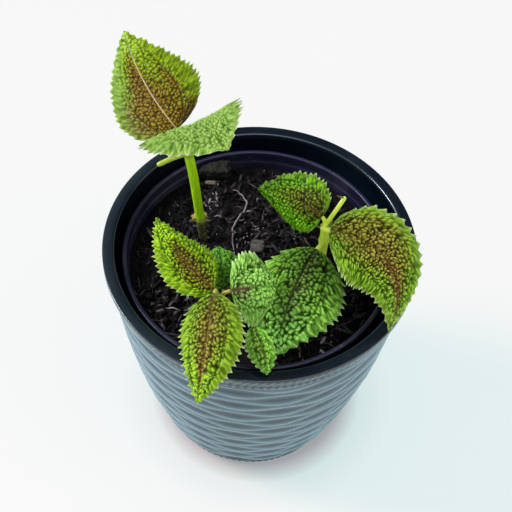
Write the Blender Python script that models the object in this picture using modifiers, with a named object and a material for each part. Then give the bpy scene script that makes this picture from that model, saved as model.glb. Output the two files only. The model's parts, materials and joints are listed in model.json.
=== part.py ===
"""Potted friendship plant: three young cuttings in a nursery pot inside a ribbed cover pot.

Metres, +Z up. The origin is the middle of the cover pot's base, on the surface it stands on, and the front
of the plant faces -Y. Sizes in the tables below are in millimetres and degrees, and MM turns them to metres.
"""
import math

import bmesh
import bpy
from mathutils import Matrix, Vector, noise
from mathutils.bvhtree import BVHTree

MM = 0.001
GAP = 0.3
TURN_STEPS = 40
DRILL_SIDES = 16

# Cover pot: a turned wall with wavy ridges under a flat overhanging ring
POT_HEIGHT = 118.6
POT_RIM_RADIUS = 65.0
POT_RING_WIDTH = 4.9
POT_FLANGE_DROP = 3.2
POT_WALL_TOP_RADIUS = 61.9
POT_BASE_RADIUS = 41.5
POT_WALL_BULGE = 3.8
POT_WALL = 2.2
POT_FLOOR = 3.0
POT_CORNER = 0.5
POT_THROAT_DEPTH = 4.0
POT_FOOT_CHAMFER = 0.8
POT_INSIDE_LEVELS = (POT_FLOOR, 30.0, 60.0, 90.0)
RIDGE_PITCH = 6.2
RIDGE_COUNT = 17
RIDGE_FIRST_CREST = 7.0
RIDGE_HEIGHT = 1.2
WAVES_ROUND = 10
WAVE_RISE = 1.1
WAVE_STEP = 2.2

# Nursery pot: thinner, with a rolled lip and drain holes, standing a little left of the middle
LINER_TOP = 112.8
LINER_SHIFT = -0.9
LINER_LIP_RADIUS = 56.3
LINER_LIP_WIDTH = 1.9
LINER_LIP_DROP = 3.0
LINER_TOP_RADIUS = 55.1
LINER_BASE_RADIUS = 36.5
LINER_WALL = 1.0
LINER_FLOOR = 1.2
LINER_CORNER = 0.4
LINER_MIDDLE = 60.0
DRAIN_HOLES = 5
DRAIN_RADIUS = 4.0
DRAIN_CIRCLE = 22.0

# Soil: mounded in the middle, lumpy on top
SOIL_EDGE_HEIGHT = 104.5
SOIL_MOUND = 3.0
SOIL_MOUND_RADIUS = 50.0
SOIL_LUMP = 2.6
SOIL_LUMP_SIZE = 11.0
SOIL_LAYER = 3.0
SOIL_SIDE_GAP = 0.4
SOIL_RINGS = 9
HOLE_CLEARANCE = 0.6
HOLE_DEPTH = 40.0

# Leaf blades. base and tip are the ends of the midrib; roll lowers the right side seen from base to tip;
# arch and sweep bow the midrib up and to the right, as shares of its length; skew widens the right half;
# widest is the place of the widest line; point is the outline's power towards the tip; curl bends each half
# down from rib to edge, fold lifts both halves at the rib, and twist turns the blade along its length. Each
# blade has a number of teeth on each edge, their depth, and the height of the bumps between its side veins.
BLADE = 0.8
RIB_DEPTH = 1.6
BLADE_NECK = 2.2
BLADE_TIP = 1.0
TIP_SHARE = 0.9
BLADE_COLUMNS = 8
BUMP_COLUMNS = (1, 3)
TOOTH_LEAST = 0.6
TOOTH_HOOK = 0.6
LEAVES = {
    "leaf_a1": dict(base=(-35, 11.5, 172), tip=(-59, 49.5, 183.5), width=34.5, roll=-24, arch=0.02,
                    sweep=-0.04, skew=0.04, widest=0.37, point=1.8, curl=19, fold=-2, twist=-2,
                    teeth=13, tooth=1.9, relief=0.8),
    "leaf_a2": dict(base=(-32, 10, 172), tip=(-14, -23, 199), width=37.5, roll=11, arch=0.15,
                    sweep=0.0, skew=0.04, widest=0.4, point=1.95, curl=8, fold=4, twist=18,
                    teeth=13, tooth=2.0, relief=0.8),
    "leaf_b1": dict(base=(23, -1, 141), tip=(-3.5, 21.5, 128), width=26.5, roll=-47, arch=0.02,
                    sweep=0.05, skew=0.0, widest=0.39, point=1.85, curl=40, fold=-9, twist=-5,
                    teeth=12, tooth=1.4, relief=0.7),
    "leaf_b2": dict(base=(26.5, -10.5, 145.5), tip=(52, -39.5, 121.5), width=39, roll=-13, arch=0.2,
                    sweep=-0.17, skew=-0.05, widest=0.34, point=2.0, curl=18, fold=9, twist=-7,
                    teeth=15, tooth=1.8, relief=0.8),
    "leaf_b3": dict(base=(22.5, -7, 127.5), tip=(9, -50.5, 114.5), width=37, roll=1, arch=0.09,
                    sweep=0.04, skew=-0.08, widest=0.44, point=1.9, curl=23, fold=0, twist=-4,
                    teeth=13, tooth=2.2, relief=1.0),
    "leaf_c1": dict(base=(-16.5, -39.5, 141), tip=(-40.5, -13.5, 149.5), width=26, roll=21, arch=0.04,
                    sweep=-0.03, skew=0.0, widest=0.38, point=1.85, curl=26, fold=-1, twist=3,
                    teeth=13, tooth=1.6, relief=0.7),
    "leaf_c2": dict(base=(-15, -44, 144.5), tip=(-19.5, -78.5, 123), width=28.5, roll=25, arch=0.05,
                    sweep=-0.05, skew=0.02, widest=0.37, point=1.85, curl=25, fold=5, twist=6,
                    teeth=13, tooth=1.9, relief=0.8),
    "leaf_c3": dict(base=(-9.5, -40, 142), tip=(7.5, -27.5, 126), width=26.5, roll=40, arch=0.15,
                    sweep=-0.03, skew=0.02, widest=0.46, point=2.3, curl=24, fold=-2, twist=2,
                    teeth=10, tooth=1.8, relief=0.8),
    "leaf_c4": dict(base=(-13, -32, 131), tip=(-16.5, -9, 127), width=19, roll=3, arch=0.08,
                    sweep=0.0, skew=0.0, widest=0.38, point=1.85, curl=29, fold=-3, twist=-3,
                    teeth=9, tooth=1.5, relief=0.7),
    "leaf_c5": dict(base=(-1, -43.5, 123.5), tip=(4.5, -63, 120.5), width=11.5, roll=-11, arch=0.11,
                    sweep=0.0, skew=0.0, widest=0.41, point=1.95, curl=21, fold=4, twist=3,
                    teeth=8, tooth=1.4, relief=0.6),
}

# Stems. path runs from the foot in the soil to the top; each petiole leaves the axis at a height and ends at
# a blade; a stub is a petiole whose leaf was cut off; a node is the swollen ring where leaves grew.
STEM_SIDES_RESOLUTION = 3
STEMS = {
    "stem_a": dict(path=[(-24.7, 10, 90), (-24.7, 10, 106), (-26, 9.9, 120), (-28.4, 9.6, 145),
                         (-30.4, 9.5, 160), (-31, 9.5, 166)], radius=1.9, nodes=(121, 161),
                   petioles={"leaf_a1": (161, 0.95), "leaf_a2": (161, 0.95)},
                   stub=((-30.4, 9.5, 161), (-36, 6, 161.5), (-42, 3, 160)), stub_radius=1.0),
    "stem_b": dict(path=[(25.5, -0.3, 90), (25.5, -0.3, 107), (25.4, -1.9, 127), (25.1, -2.5, 138.5)],
                   radius=1.9, nodes=(127, 137),
                   petioles={"leaf_b1": (135, 0.9), "leaf_b2": (136, 0.95), "leaf_b3": (124, 0.95)},
                   stub=((25.2, -2.4, 138), (28.5, 1.5, 142), (32, 6, 146)), stub_radius=0.95),
    "stem_c": dict(path=[(-12.5, -37, 90), (-12.5, -37, 107), (-14, -39, 126), (-15.4, -41.3, 139)],
                   radius=1.7, nodes=(126, 136.5),
                   petioles={"leaf_c1": (135, 0.85), "leaf_c2": (136, 0.85), "leaf_c3": (130, 0.8),
                             "leaf_c4": (125, 0.75), "leaf_c5": (111, 0.7)},
                   stub=None, stub_radius=0),
}
STEM_TOP_SHARE = 0.55
NODE_SWELL = 1.25
NODE_REACH = 2.2
PETIOLE_GAP = 0.5
PETIOLE_DROP = 0.8
PETIOLE_BEND = 0.4

# Loose bits on the soil: a long pale root, a chip and a piece of bark
ROOT_RADIUS = 0.45
ROOT_ROUTE = [(-14, 36), (-11, 35), (-8, 31), (-7.5, 27.5), (-10, 21), (-12.3, 15.6), (-12.2, 11),
              (-11.7, 5), (-10.4, 0)]
CHIP = dict(place=(-1.5, 5.3), size=(6.0, 7.5, 2.2), turn=20)
BARK = dict(place=(-24, 40), size=(6.0, 2.4, 1.4), turn=-8)
BIT_ROUGHNESS = 0.22
BIT_FLAT_SHARE = 0.3


def material(name, colour, roughness, metallic=0.0):
    made = bpy.data.materials.new(name)
    made.use_nodes = True
    shader = made.node_tree.nodes["Principled BSDF"]
    shader.inputs["Base Color"].default_value = (*colour, 1.0)
    shader.inputs["Roughness"].default_value = roughness
    shader.inputs["Metallic"].default_value = metallic
    made.diffuse_color = (*colour, 1.0)
    return made


def mesh_object(name, mesh, home):
    made = bpy.data.objects.new(name, mesh)
    home.objects.link(made)
    return made


def evaluated_mesh(thing):
    bpy.context.view_layer.update()
    graph = bpy.context.evaluated_depsgraph_get()
    return bpy.data.meshes.new_from_object(thing.evaluated_get(graph))


def freeze(thing):
    """Applies an object's modifiers, or makes its curve a mesh with its caps welded on."""
    mesh = evaluated_mesh(thing)
    shape = bmesh.new()
    shape.from_mesh(mesh)
    bmesh.ops.remove_doubles(shape, verts=shape.verts, dist=1e-6)
    shape.to_mesh(mesh)
    shape.free()
    home = thing.users_collection[0]
    name = thing.name
    place = thing.matrix_world.copy()
    bpy.data.objects.remove(thing)
    made = mesh_object(name, mesh, home)
    made.matrix_world = place
    return made


def finish(thing, colour, roughness, sharp_angle=40):
    thing.data.materials.clear()
    thing.data.materials.append(material(thing.name, colour, roughness))
    thing.data.shade_smooth()
    thing.data.set_sharp_from_angle(angle=math.radians(sharp_angle))
    return thing


def turned(name, profile, home):
    """Turns a profile of (radius, height) points round the Z axis; it runs down its outer side."""
    mesh = bpy.data.meshes.new(name)
    points = [(r * MM, 0.0, z * MM) for r, z in profile]
    mesh.from_pydata(points, [(i, i + 1) for i in range(len(points) - 1)], [])
    made = mesh_object(name, mesh, home)
    screw = made.modifiers.new("Turn", "SCREW")
    screw.axis = "Z"
    screw.steps = TURN_STEPS
    screw.render_steps = TURN_STEPS
    screw.use_merge_vertices = True
    screw.merge_threshold = 1e-6
    return made


def lerp(a, b, t):
    return a + (b - a) * t


def smooth_path(points, spans):
    """A Catmull-Rom curve through the points, with the given number of steps between two of them."""
    stops = [Vector(p) for p in points]
    stops = [2 * stops[0] - stops[1]] + stops + [2 * stops[-1] - stops[-2]]
    path = []
    for i in range(1, len(stops) - 2):
        a, b, c, d = stops[i - 1:i + 3]
        for k in range(spans):
            t = k / spans
            path.append(0.5 * (2 * b + (c - a) * t + (2 * a - 5 * b + 4 * c - d) * t * t
                               + (3 * b - a - 3 * c + d) * t ** 3))
    path.append(stops[-2])
    return path


def tube(name, path, radii, home, resolution=2):
    """A round rod along a path in millimetres, with a radius for each point."""
    curve = bpy.data.curves.new(name, "CURVE")
    curve.dimensions = "3D"
    curve.bevel_depth = MM
    curve.bevel_resolution = resolution
    curve.use_fill_caps = True
    line = curve.splines.new("POLY")
    line.points.add(len(path) - 1)
    for spot, place, radius in zip(line.points, path, radii):
        spot.co = (*(Vector(place) * MM), 1.0)
        spot.radius = radius
    made = bpy.data.objects.new(name, curve)
    home.objects.link(made)
    return freeze(made)


def cut_or_join(thing, others, operation):
    """Cuts the others out of a mesh object, or joins them to it, and removes them."""
    helpers = bpy.data.collections.new(thing.name + "_" + operation.lower())
    bpy.context.scene.collection.children.link(helpers)
    for other in others:
        for home in list(other.users_collection):
            home.objects.unlink(other)
        helpers.objects.link(other)
    boolean = thing.modifiers.new(operation.title(), "BOOLEAN")
    boolean.operation = operation
    boolean.operand_type = "COLLECTION"
    boolean.collection = helpers
    boolean.solver = "EXACT"
    made = freeze(thing)
    for other in list(helpers.objects):
        bpy.data.objects.remove(other)
    bpy.data.collections.remove(helpers)
    return made


def drill(name, x, y, z, radius, depth, home):
    """A rod to cut a round hole with, from height z up to z + depth, in millimetres."""
    shape = bmesh.new()
    bmesh.ops.create_cone(shape, cap_ends=True, segments=DRILL_SIDES, radius1=radius * MM,
                          radius2=radius * MM, depth=depth * MM)
    mesh = bpy.data.meshes.new(name)
    shape.to_mesh(mesh)
    shape.free()
    made = mesh_object(name, mesh, home)
    made.location = (x * MM, y * MM, (z + depth / 2) * MM)
    return made


# Cover pot
def pot_wall_radius(z):
    """The wall's smooth outer radius at a height: a straight taper with a slight belly."""
    u = z / (POT_HEIGHT - POT_FLANGE_DROP)
    return lerp(POT_BASE_RADIUS, POT_WALL_TOP_RADIUS, u) + POT_WALL_BULGE * 4 * u * (1 - u)


def outer_pot(home):
    ring_inner = POT_RIM_RADIUS - POT_RING_WIDTH
    flange_foot = POT_HEIGHT - POT_FLANGE_DROP
    corner = POT_CORNER
    profile = [(0, POT_FLOOR)]
    for z in POT_INSIDE_LEVELS:
        profile.append((pot_wall_radius(z) - POT_WALL, z))
    profile += [(ring_inner, POT_HEIGHT - POT_THROAT_DEPTH), (ring_inner, POT_HEIGHT - corner),
                (ring_inner + corner, POT_HEIGHT), (POT_RIM_RADIUS - corner, POT_HEIGHT),
                (POT_RIM_RADIUS, POT_HEIGHT - corner), (POT_RIM_RADIUS, flange_foot),
                (POT_WALL_TOP_RADIUS, flange_foot)]
    for k in reversed(range(RIDGE_COUNT)):
        crest = RIDGE_FIRST_CREST + k * RIDGE_PITCH
        valley = crest - RIDGE_PITCH / 2
        profile.append((pot_wall_radius(crest) + RIDGE_HEIGHT / 2, crest))
        profile.append((pot_wall_radius(valley) - RIDGE_HEIGHT / 2, valley))
    profile += [(POT_BASE_RADIUS, POT_FOOT_CHAMFER), (POT_BASE_RADIUS - POT_FOOT_CHAMFER, 0), (0, 0)]
    pot = freeze(turned("outer_pot", profile, home))
    # The ridges wander up and down round the wall, each out of step with the next
    lowest = RIDGE_FIRST_CREST - RIDGE_PITCH * 0.6
    highest = RIDGE_FIRST_CREST + RIDGE_PITCH * (RIDGE_COUNT - 0.9)
    for vertex in pot.data.vertices:
        x, y, z = vertex.co / MM
        outside = math.hypot(x, y) > pot_wall_radius(z) - RIDGE_HEIGHT
        if outside and lowest < z < highest:
            half_ridges = round(2 * (z - RIDGE_FIRST_CREST) / RIDGE_PITCH)
            phase = WAVE_STEP * half_ridges / 2
            vertex.co.z += WAVE_RISE * math.sin(WAVES_ROUND * math.atan2(y, x) + phase) * MM
    return finish(pot, (0.055, 0.065, 0.075), 0.35, 20)


# Nursery pot
def liner_inner_radius(z):
    bottom = POT_FLOOR + GAP
    u = (z - bottom) / (LINER_TOP - LINER_LIP_DROP - bottom)
    return lerp(LINER_BASE_RADIUS, LINER_TOP_RADIUS, u) - LINER_WALL


def inner_pot(home):
    bottom = POT_FLOOR + GAP
    floor = bottom + LINER_FLOOR
    lip_inner = LINER_LIP_RADIUS - LINER_LIP_WIDTH
    lip_foot = LINER_TOP - LINER_LIP_DROP
    middle_radius = liner_inner_radius(LINER_MIDDLE)
    corner = LINER_CORNER
    profile = [(0, floor), (liner_inner_radius(floor), floor), (middle_radius, LINER_MIDDLE),
               (liner_inner_radius(lip_foot), lip_foot), (lip_inner, LINER_TOP - corner),
               (lip_inner + corner, LINER_TOP), (LINER_LIP_RADIUS - corner, LINER_TOP),
               (LINER_LIP_RADIUS, LINER_TOP - corner), (LINER_LIP_RADIUS, lip_foot),
               (LINER_TOP_RADIUS, lip_foot), (middle_radius + LINER_WALL, LINER_MIDDLE),
               (LINER_BASE_RADIUS, bottom + LINER_WALL), (LINER_BASE_RADIUS - LINER_WALL, bottom),
               (0, bottom)]
    liner = freeze(turned("inner_pot", profile, home))
    liner.data.transform(Matrix.Translation((LINER_SHIFT * MM, 0, 0)))
    drills = []
    for k in range(DRAIN_HOLES):
        angle = 2 * math.pi * (k + 0.5) / DRAIN_HOLES
        x = LINER_SHIFT + DRAIN_CIRCLE * math.cos(angle)
        y = DRAIN_CIRCLE * math.sin(angle)
        drills.append(drill("drain_hole", x, y, bottom - 1, DRAIN_RADIUS, LINER_FLOOR + 2, home))
    liner = cut_or_join(liner, drills, "DIFFERENCE")
    return finish(liner, (0.035, 0.033, 0.042), 0.45)


# Soil, with a hole for each stem
def soil_height(x, y):
    mound = SOIL_MOUND * (1 - min(1.0, math.hypot(x, y) / SOIL_MOUND_RADIUS) ** 2)
    spot = Vector((x, y, SOIL_LAYER)) / SOIL_LUMP_SIZE
    lumps = noise.noise(spot) + 0.6 * noise.noise(spot * 2.3)
    return SOIL_EDGE_HEIGHT + mound + SOIL_LUMP * lumps


def soil(home):
    bottom = POT_FLOOR + GAP + LINER_FLOOR + GAP
    edge = liner_inner_radius(SOIL_EDGE_HEIGHT) - SOIL_SIDE_GAP
    profile = [(edge * k / SOIL_RINGS, SOIL_EDGE_HEIGHT) for k in range(SOIL_RINGS + 1)]
    profile += [(liner_inner_radius(LINER_MIDDLE) - SOIL_SIDE_GAP, LINER_MIDDLE),
                (liner_inner_radius(bottom) - SOIL_SIDE_GAP, bottom), (0, bottom)]
    heap = freeze(turned("soil", profile, home))
    top = SOIL_EDGE_HEIGHT - 1
    for vertex in heap.data.vertices:
        x, y, z = vertex.co / MM
        if z > top and math.hypot(x, y) < edge - 1:
            vertex.co.z = soil_height(x, y) * MM
    heap.data.transform(Matrix.Translation((LINER_SHIFT * MM, 0, 0)))
    drills = []
    for stem in STEMS.values():
        x, y, foot = stem["path"][0]
        radius = (stem["radius"] + HOLE_CLEARANCE) / math.cos(math.pi / DRILL_SIDES)
        drills.append(drill("stem_hole", x, y, foot - GAP, radius, HOLE_DEPTH, home))
    heap = cut_or_join(heap, drills, "DIFFERENCE")
    return finish(heap, (0.018, 0.013, 0.011), 0.9, 12)


# Leaf blades
def outline(s, leaf):
    """Half of the blade's width at s along the midrib, as a share of the widest half."""
    widest = leaf["widest"]
    if s < widest:
        return math.sqrt(1 - (1 - s / widest) ** 2)
    return 1 - ((s - widest) / (1 - widest)) ** leaf["point"]


def rib_frame(leaf, s):
    """The midrib's point at s, with the directions along it, to its right and out of the upper face."""
    base, tip = Vector(leaf["base"]), Vector(leaf["tip"])
    chord = tip - base
    length = chord.length
    along = chord.normalized()
    level = along.cross(Vector((0, 0, 1))).normalized()
    up = level.cross(along)
    roll = math.radians(leaf["roll"])
    side = level * math.cos(roll) - up * math.sin(roll)
    face = side.cross(along)
    bow = (face * leaf["arch"] + side * leaf["sweep"]) * length
    point = base + chord * s + bow * 4 * s * (1 - s)
    run = (chord + bow * 4 * (1 - 2 * s)).normalized()
    turn = math.radians(leaf["twist"]) * (s - 0.5)
    side = side * math.cos(turn) - face * math.sin(turn)
    side = (side - run * side.dot(run)).normalized()
    return point, run, side, side.cross(run)


def blade_point(leaf, s, v, lift=0.0, out=0.0, forward=0.0):
    """A point of the upper face: v runs from -1 at the left edge to 1 at the right edge."""
    point, run, side, face = rib_frame(leaf, s)
    least = BLADE_TIP if s > TIP_SHARE else BLADE_NECK
    half = max(leaf["width"] * outline(s, leaf), least) / 2
    hand = 1 if v >= 0 else -1
    reach = half * abs(v) * (1 + hand * leaf["skew"]) + out
    bend = math.radians(leaf["curl"]) * abs(v)
    fold = math.radians(leaf["fold"])
    middle = bend / 2 - fold
    end = bend - fold
    chord_share = math.sin(bend / 2) / (bend / 2) if bend > 1e-4 else 1.0
    across = reach * chord_share * math.cos(middle)
    down = reach * chord_share * math.sin(middle)
    normal = face * math.cos(end) + side * hand * math.sin(end)
    return point + side * hand * across - face * down + normal * lift + run * forward


def leaf_blade(name, home):
    """A toothed and quilted blade: a grid laid on the leaf's curve and made solid below it."""
    leaf = LEAVES[name]
    rows = 2 * leaf["teeth"]
    columns = BLADE_COLUMNS
    shape = bmesh.new()
    bmesh.ops.create_grid(shape, x_segments=rows, y_segments=columns, size=1.0)
    ribs = []
    for vertex in shape.verts:
        row = round((vertex.co.x + 1) / 2 * rows)
        column = round(-vertex.co.y * columns / 2)
        s, v = row / rows, 2 * column / columns
        ribs.append((column, s))
        between_veins = row % 2 == 1 and row < rows - 1
        lift, out, forward = 0.0, 0.0, 0.0
        if between_veins and abs(column) in BUMP_COLUMNS:
            lift = leaf["relief"] * math.sqrt(outline(s, leaf))
        if between_veins and row > 2 and abs(column) == columns // 2:
            out = leaf["tooth"] * lerp(TOOTH_LEAST, 1.0, outline(s, leaf))
            forward = out * TOOTH_HOOK
        vertex.co = blade_point(leaf, s, v, lift, out, forward) * MM
    bmesh.ops.triangulate(shape, faces=shape.faces, quad_method="FIXED")
    mesh = bpy.data.meshes.new(name)
    shape.to_mesh(mesh)
    shape.free()
    blade = mesh_object(name, mesh, home)
    group = blade.vertex_groups.new(name="midrib")
    for index, (column, s) in enumerate(ribs):
        weight = (1 - s) if column == 0 else 0.0
        group.add([index], weight, "REPLACE")
    solid = blade.modifiers.new("Thickness", "SOLIDIFY")
    solid.thickness = RIB_DEPTH * MM
    solid.offset = -1
    solid.vertex_group = "midrib"
    solid.thickness_vertex_group = BLADE / RIB_DEPTH
    return finish(blade, (0.16, 0.34, 0.04), 0.55, 20)


# Stems with their petioles and cut stubs, grown as one piece
def axis_point(path, z):
    for low, high in zip(path, path[1:]):
        if low.z <= z <= high.z:
            return low.lerp(high, (z - low.z) / (high.z - low.z))
    return path[-1]


def stem(name, home):
    plan = STEMS[name]
    path = smooth_path(plan["path"], 3)
    radii = []
    for spot in path:
        swell = max(1 - abs(spot.z - node) / NODE_REACH for node in plan["nodes"])
        radii.append(plan["radius"] * (1 + (NODE_SWELL - 1) * max(0.0, swell)))
    radii[-1] = plan["radius"] * STEM_TOP_SHARE
    trunk = tube(name, path, radii, home, STEM_SIDES_RESOLUTION)
    branches = []
    for leaf_name, (height, radius) in plan["petioles"].items():
        leaf = LEAVES[leaf_name]
        place, run, side, face = rib_frame(leaf, 0)
        end = place - run * PETIOLE_GAP - face * radius * PETIOLE_DROP
        start = axis_point(path, height)
        bend = end - run * (end - start).length * PETIOLE_BEND
        line = [start.lerp(bend, t).lerp(bend.lerp(end, t), t) for t in (0, 0.25, 0.5, 0.75, 1)]
        branches.append(tube(name + "_petiole", line, [radius] * len(line), home))
    if plan["stub"]:
        line = smooth_path(plan["stub"], 2)
        branches.append(tube(name + "_stub", line, [plan["stub_radius"]] * len(line), home))
    grown = cut_or_join(trunk, branches, "UNION")
    return finish(grown, (0.30, 0.45, 0.05), 0.45)


# Loose bits that lie on the soil
def ground_under(tree, x, y):
    hit = tree.ray_cast(Vector((x * MM, y * MM, 0.2)), Vector((0, 0, -1)))
    return hit[0].z / MM


def soil_root(tree, home):
    flat = smooth_path([(x, y, 0) for x, y in ROOT_ROUTE], 2)
    route = []
    for spot in flat:
        ring = [ground_under(tree, spot.x + dx, spot.y + dy) for dx in (-1, 0, 1) for dy in (-1, 0, 1)]
        route.append(Vector((spot.x, spot.y, max(ring) + ROOT_RADIUS + GAP)))
    root = tube("soil_root", route, [ROOT_RADIUS] * len(route), home, 1)
    return finish(root, (0.42, 0.34, 0.27), 0.7)


def soil_bit(name, plan, tree, home, colour):
    """A rough rounded piece with a flat underside, laid on the soil's highest point under it."""
    shape = bmesh.new()
    bmesh.ops.create_icosphere(shape, subdivisions=2, radius=1.0)
    length, width, height = plan["size"]
    for vertex in shape.verts:
        rough = 1 + BIT_ROUGHNESS * noise.noise(vertex.co * 2.5)
        vertex.co.x *= length / 2 * rough
        vertex.co.y *= width / 2 * rough
        vertex.co.z *= height / 2 * rough
        vertex.co.z = max(vertex.co.z, -height * BIT_FLAT_SHARE)
    mesh = bpy.data.meshes.new(name)
    shape.to_mesh(mesh)
    shape.free()
    mesh.transform(Matrix.Diagonal((MM, MM, MM, 1)))
    x, y = plan["place"]
    under = []
    for dx in (-1, -0.5, 0, 0.5, 1):
        for dy in (-1, -0.5, 0, 0.5, 1):
            under.append(ground_under(tree, x + dx * length / 2, y + dy * width / 2))
    made = mesh_object(name, mesh, home)
    made.location = (x * MM, y * MM, (max(under) + height * BIT_FLAT_SHARE + GAP) * MM)
    made.rotation_euler = (0, 0, math.radians(plan["turn"]))
    return finish(made, colour, 0.85)


def build():
    for thing in list(bpy.data.objects):
        bpy.data.objects.remove(thing)
    plant = bpy.data.collections.new("potted_friendship_plant")
    bpy.context.scene.collection.children.link(plant)
    outer_pot(plant)
    inner_pot(plant)
    heap = soil(plant)
    mesh = heap.data
    tree = BVHTree.FromPolygons([v.co for v in mesh.vertices], [p.vertices for p in mesh.polygons])
    soil_root(tree, plant)
    soil_bit("soil_chip", CHIP, tree, plant, (0.20, 0.15, 0.13))
    soil_bit("soil_bark", BARK, tree, plant, (0.33, 0.24, 0.17))
    for name in STEMS:
        stem(name, plant)
    for name in LEAVES:
        leaf_blade(name, plant)


build()
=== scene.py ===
"""Looks of the potted friendship plant: three young cuttings in a nursery pot inside a ribbed cover pot."""
import json
import math

import bmesh
import bpy
import numpy as np
from mathutils import Matrix, Vector, noise

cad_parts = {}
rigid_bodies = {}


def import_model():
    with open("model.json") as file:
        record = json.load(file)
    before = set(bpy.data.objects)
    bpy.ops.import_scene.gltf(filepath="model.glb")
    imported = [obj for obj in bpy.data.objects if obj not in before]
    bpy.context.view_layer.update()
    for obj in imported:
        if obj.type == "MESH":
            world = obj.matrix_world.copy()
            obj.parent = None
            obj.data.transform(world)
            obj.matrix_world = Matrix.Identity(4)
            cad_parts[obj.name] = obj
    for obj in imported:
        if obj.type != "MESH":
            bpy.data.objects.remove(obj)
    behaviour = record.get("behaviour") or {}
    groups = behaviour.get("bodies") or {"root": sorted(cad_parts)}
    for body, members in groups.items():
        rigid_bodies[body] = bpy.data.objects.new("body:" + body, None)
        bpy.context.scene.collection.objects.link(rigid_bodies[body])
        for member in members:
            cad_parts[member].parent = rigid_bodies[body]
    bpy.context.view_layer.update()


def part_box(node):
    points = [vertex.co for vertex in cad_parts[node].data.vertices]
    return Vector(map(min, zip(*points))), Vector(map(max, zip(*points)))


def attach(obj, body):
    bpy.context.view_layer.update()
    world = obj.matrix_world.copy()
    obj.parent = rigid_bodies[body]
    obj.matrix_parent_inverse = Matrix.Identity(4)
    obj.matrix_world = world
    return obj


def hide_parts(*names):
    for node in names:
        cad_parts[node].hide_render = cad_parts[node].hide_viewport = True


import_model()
MM = 0.001


# Cover pot.
# A dark anthracite plastic pot, injection moulded in one piece: a flat overhanging ring on a tapered wall
# whose ridges run in waves, like ripples in sand. Sizes are in millimetres, as everywhere below.
POT_HEIGHT = 118.6
POT_RIM_RADIUS = 65.0
POT_THROAT_RADIUS = 60.1
POT_FLANGE_DROP = 3.2
POT_WALL_TOP_RADIUS = 61.9
POT_BASE_RADIUS = 41.5
POT_WALL_BULGE = 3.8
POT_WALL = 2.2
POT_FLOOR = 3.0
RIDGE_PITCH = 5.96
RIDGE_LOWEST_VALLEY = 6.3
RIDGE_HIGHEST_CREST = 104.6
RIDGE_HEIGHT = 1.5
BEAD_LEVEL = 107.0
BEAD_REACH = 0.7
BEAD_RISE = 0.3
WAVES_ROUND = 10
WAVE_RISE = 1.0
WAVE_START = math.radians(-95)
POT_STEPS = 340
POT_ROW = 0.62
FOOT_NOTCH = 0.2
STROKES_ROUND = 126.0
STROKES_UP = 1520.0
NOTCHES_ROUND = 84.0


def new_object(name, data):
    made = bpy.data.objects.new(name, data)
    bpy.context.scene.collection.objects.link(made)
    return made


def mesh_piece(name, points, faces, weld=True, marks=None):
    """A smooth mesh object through points in millimetres; marks are four numbers a point, for its colours."""
    mesh = bpy.data.meshes.new(name)
    mesh.from_pydata((np.asarray(points, float) * MM).tolist(), [], faces)
    for label, values in (marks or {}).items():
        attribute = mesh.attributes.new(label, "FLOAT_COLOR", "POINT")
        attribute.data.foreach_set("color", np.asarray(values, np.float32).ravel())
    shape = bmesh.new()
    shape.from_mesh(mesh)
    if weld:
        bmesh.ops.remove_doubles(shape, verts=shape.verts, dist=1e-7)
    bmesh.ops.recalc_face_normals(shape, faces=shape.faces)
    shape.to_mesh(mesh)
    shape.free()
    mesh.shade_smooth()
    return new_object(name, mesh)


def round_faces(rows, steps):
    """The quads of a grid whose last column meets its first."""
    faces = []
    for i in range(rows - 1):
        for j in range(steps):
            k = (j + 1) % steps
            faces.append((i * steps + j, i * steps + k, (i + 1) * steps + k, (i + 1) * steps + j))
    return faces


def turned_rows(profile, steps):
    """Arrays of radii and heights: a row for each point of a profile, the same all round."""
    profile = np.array(profile, float)
    return np.repeat(profile[:, :1], steps, axis=1), np.repeat(profile[:, 1:], steps, axis=1)


def turned_piece(name, radii, heights, marks=None):
    """A turned piece; radii and heights are arrays of rows by steps, in millimetres."""
    rows, steps = radii.shape
    turn = np.linspace(0, 2 * math.pi, steps, endpoint=False)
    points = np.stack([radii * np.cos(turn), radii * np.sin(turn), heights], axis=-1)
    return mesh_piece(name, points.reshape(-1, 3), round_faces(rows, steps), marks=marks)


def shade(tree, kind, inputs=None, **settings):
    """Adds a shader node: a plain value sets an input, and a socket is linked to it."""
    made = tree.nodes.new("ShaderNode" + kind)
    for key, value in settings.items():
        setattr(made, key, value)
    for key, value in (inputs or {}).items():
        if isinstance(value, bpy.types.NodeSocket):
            tree.links.new(value, made.inputs[key])
        else:
            made.inputs[key].default_value = value
    return made


def blend_colours(tree, share, first, second, mode="MIX"):
    mixer = shade(tree, "Mix", {0: share, 6: first, 7: second}, data_type="RGBA", blend_type=mode)
    return mixer.outputs[2]


def number(tree, operation, first, second=0.0, third=0.0):
    return shade(tree, "Math", {0: first, 1: second, 2: third}, operation=operation).outputs[0]


def spread(tree, value, low, high, to_low=0.0, to_high=1.0):
    """Maps low..high of a value to another range, and holds it there."""
    return shade(tree, "MapRange", {0: value, 1: low, 2: high, 3: to_low, 4: to_high}).outputs[0]


def times(tree, first, second):
    return number(tree, "MULTIPLY", first, second)


def plus(tree, first, second):
    return number(tree, "ADD", first, second)


def object_place(tree):
    return shade(tree, "TexCoord").outputs["Object"]


def axes(tree):
    """The object's own x, y and z, in metres."""
    return shade(tree, "SeparateXYZ", {0: object_place(tree)}).outputs


def reach(tree, across, along):
    """The length of a flat vector."""
    return number(tree, "SQRT", number(tree, "MULTIPLY_ADD", across, across, times(tree, along, along)))


def cloud(tree, place, scale, detail=2.0, harshness=0.5):
    """Soft noise from 0 to 1."""
    inputs = {"Vector": place, "Scale": scale, "Detail": detail, "Roughness": harshness}
    return shade(tree, "TexNoise", inputs).outputs[0]


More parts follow.
